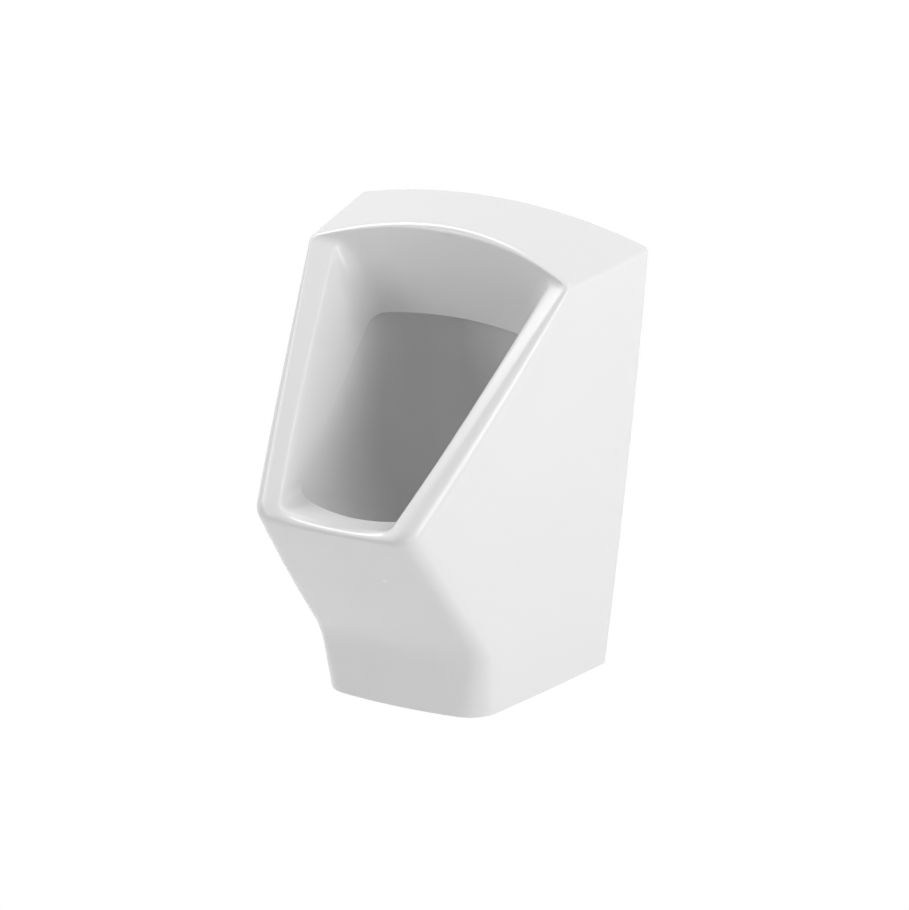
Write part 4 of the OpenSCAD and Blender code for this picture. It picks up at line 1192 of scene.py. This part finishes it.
def strip_block(name, outline, x, width, soft):
    """A block with an outline of (depth, height) points and a width across."""
    n = len(outline)
    points = [(x + s * width / 2, -p[0], p[1]) for s in (-1, 1) for p in outline]
    faces = [tuple(range(n)), tuple(range(2 * n - 1, n - 1, -1))]
    faces += [(i, (i + 1) % n, n + (i + 1) % n, n + i) for i in range(n)]
    piece = as_piece(name, closed_mesh(name, points, faces, Matrix()))
    if soft:
        round_off = piece.modifiers.new("round_off", "BEVEL")
        round_off.width, round_off.segments, round_off.limit_method = soft, 2, "ANGLE"
        plain_mesh(piece)
    return piece


def bend(before, corner, after, radius):
    """The points of one bend of the strip's outline."""
    before, corner, after = Vector(before), Vector(corner), Vector(after)
    a = corner + radius * (before - corner).normalized()
    b = corner + radius * (after - corner).normalized()
    return [rounded(a, corner, b, t) for t in shares(6)]


outer_d, tongue_top, shelf_low = tongue_d + steel_t, shelf_up + tongue_h, shelf_up - steel_t
hook_outline = (
    [Vector((0, bracket_low))]
    + bend((0, bracket_low), (0, shelf_up), (tongue_d, shelf_up), wall_bend)
    + bend((0, shelf_up), (tongue_d, shelf_up), (tongue_d, 1), inner_bend)
    + bend((tongue_d, shelf_up), (tongue_d, tongue_top), (outer_d, tongue_top), tongue_soft)
    + bend((tongue_d, tongue_top), (outer_d, tongue_top), (outer_d, 0), tongue_soft)
    + bend((outer_d, shelf_up), (outer_d, shelf_low), (steel_t, shelf_low), shelf_bend)
    + bend((outer_d, shelf_low), (steel_t, shelf_low), (steel_t, 0), shelf_soft)
    + [Vector((steel_t, bracket_low))]
)
gusset_outline = [
    (steel_t - gusset_sink, shelf_low + gusset_sink), (tongue_d, shelf_low + gusset_sink),
    (tongue_d, shelf_low - gusset_proud), (steel_t + gusset_proud, fixing_z - washer_r),
    (steel_t - gusset_sink, fixing_z - washer_r),
]
for side, name, node in (
    (-1, "left_hook", "left_hanger_bracket"), (1, "right_hook", "right_hanger_bracket"),
):
    hook = strip_block(name, hook_outline, side * fixing_x, bracket_w, 0.0003)
    for edge in (-1, 1):
        x = side * fixing_x + edge * (bracket_w / 2 - 0.0009)
        join_or_cut(hook, strip_block("gusset", gusset_outline, x, gusset_t, 0), "UNION")
    for z in (-fixing_z, fixing_z):
        join_or_cut(hook, rod(
            "screw_hole", screw_r + washer_play, -0.002, 0.006,
            at(0, hang_h + z, side * fixing_x, 1), steps=48,
        ), "DIFFERENCE")
    hook.data.materials.clear()
    hook.data.materials.append(zinc_steel)
    smooth_shade(hook.data)
    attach(hook, "urinal")
    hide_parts(node)

# ------------------------------------------------------- hanger buffers
# Soft pads on the hooks' shelves that keep the ceramic off the steel.
buffer_t = 0.0015
pads = [
    box(
        "pad", (side * fixing_x - bracket_w / 2, -tongue_d, 0),
        (side * fixing_x + bracket_w / 2, -steel_t, buffer_t), at(0, hang_h + shelf_up), 0.0004,
    ) for side in (-1, 1)
]
join_or_cut(pads[0], pads[1], "UNION")
pads[0].name = "hook_pads"
pads[0].data.materials.clear()
pads[0].data.materials.append(black_rubber)
smooth_shade(pads[0].data)
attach(pads[0], "urinal")
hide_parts("hanger_buffers")

# ----------------------------------------------- screws, washers, plugs
# Four zinc-plated screws with washers hold the hooks. Each bites in a
# ribbed plastic plug in the wall.
def fixing_tree():
    """Repeats its geometry at the four fixings on the wall."""
    tree = geometry_tree("at_four_fixings", (("Half Width", "Float"), ("Half Height", "Float")))
    given = tree.nodes.new("NodeGroupInput").outputs
    width = tree_node(tree, "ShaderNodeMath", (0, given["Half Width"]), operation="MULTIPLY")
    height = tree_node(tree, "ShaderNodeMath", (0, given["Half Height"]), operation="MULTIPLY")
    width.inputs[1].default_value = height.inputs[1].default_value = 2.0
    grid = tree_node(
        tree, "GeometryNodeMeshGrid", ("Size X", width.outputs[0]), ("Size Y", height.outputs[0]),
    )
    grid.inputs["Vertices X"].default_value = grid.inputs["Vertices Y"].default_value = 2
    upright = tree_node(tree, "GeometryNodeTransform", ("Geometry", grid.outputs[0]))
    upright.inputs["Rotation"].default_value = (math.pi / 2, 0, 0)
    copies = tree_node(
        tree, "GeometryNodeInstanceOnPoints",
        ("Points", upright.outputs[0]), ("Instance", given["Geometry"]),
    ).outputs[0]
    real = tree_node(tree, "GeometryNodeRealizeInstances", (0, copies)).outputs[0]
    painted = tree_node(
        tree, "GeometryNodeSetMaterial", ("Geometry", real), ("Material", given["Finish"])
    ).outputs[0]
    tree_node(tree, "NodeGroupOutput", (0, painted))
    return tree


at_four_fixings = fixing_tree()
head_r, head_h, screw_len, screw_pitch, socket_hex_r = 0.0055, 0.0035, 0.048, 0.003, 0.0024
fixings = {"Half_Width": fixing_x, "Half_Height": fixing_z}
washers = ring(
    "hook_washers", washer_r, screw_r + washer_play, washer_t, at(steel_t, hang_h, 0, 1),
    soft=washer_soft, steps=48,
)
run_tree(washers, at_four_fixings, Finish=zinc_steel, **fixings)
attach(washers, "urinal")
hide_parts("hanger_washers")
screws = lathe("hook_screws", (
    eased([(0, -head_h), (head_r * 0.8, -head_h), (head_r, 0), (screw_r, 0)], 0.0006, closed=False)
    + threaded(screw_r, 0.006, screw_len - 0.007, screw_pitch, fine_dp)
    + [Vector((screw_r * 0.75, screw_len - 0.004, 0)), Vector((0, screw_len, 0))]
), at(steel_t + washer_t, hang_h, 0, -1), steps=32, pitch=screw_pitch)
join_or_cut(screws, rod(
    "hex_socket", socket_hex_r, head_h / 2, head_h * 1.5,
    at(steel_t + washer_t, hang_h, 0, 1), steps=6,
), "DIFFERENCE")
smooth_shade(screws.data)
run_tree(screws, at_four_fixings, Finish=zinc_steel, **fixings)
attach(screws, "urinal")
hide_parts("hanger_screws")

grey_plastic = new_finish(
    "grey_plastic", (0.50, 0.51, 0.53), (0.44, 0.45, 0.47), (0.5, 0.65), 60.0, 1300.0, 0.00006,
)
plug_r, plug_len, plug_bore, bore_len, tip_in = 0.005, 0.050, 0.0031, 0.045, 0.0012
barb_n, barb_step, barb_dp = 11, 0.004, 0.0007
barbs = []
for k in range(barb_n):
    h = barb_step + k * barb_step
    barbs += [(plug_r, h), (plug_r - barb_dp, h + 0.0026), (plug_r - barb_dp, h + 0.0036)]
plugs = lathe("wall_plug_set", eased(
    [(plug_bore, 0), (plug_r, 0)] + barbs
    + [(plug_r - tip_in, plug_len), (0, plug_len), (0, bore_len), (plug_bore, bore_len)],
    0.0002, 2,
), at(0, hang_h, 0, -1), steps=32)
run_tree(plugs, at_four_fixings, Finish=grey_plastic, **fixings)
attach(plugs, "urinal")
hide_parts("wall_plugs")
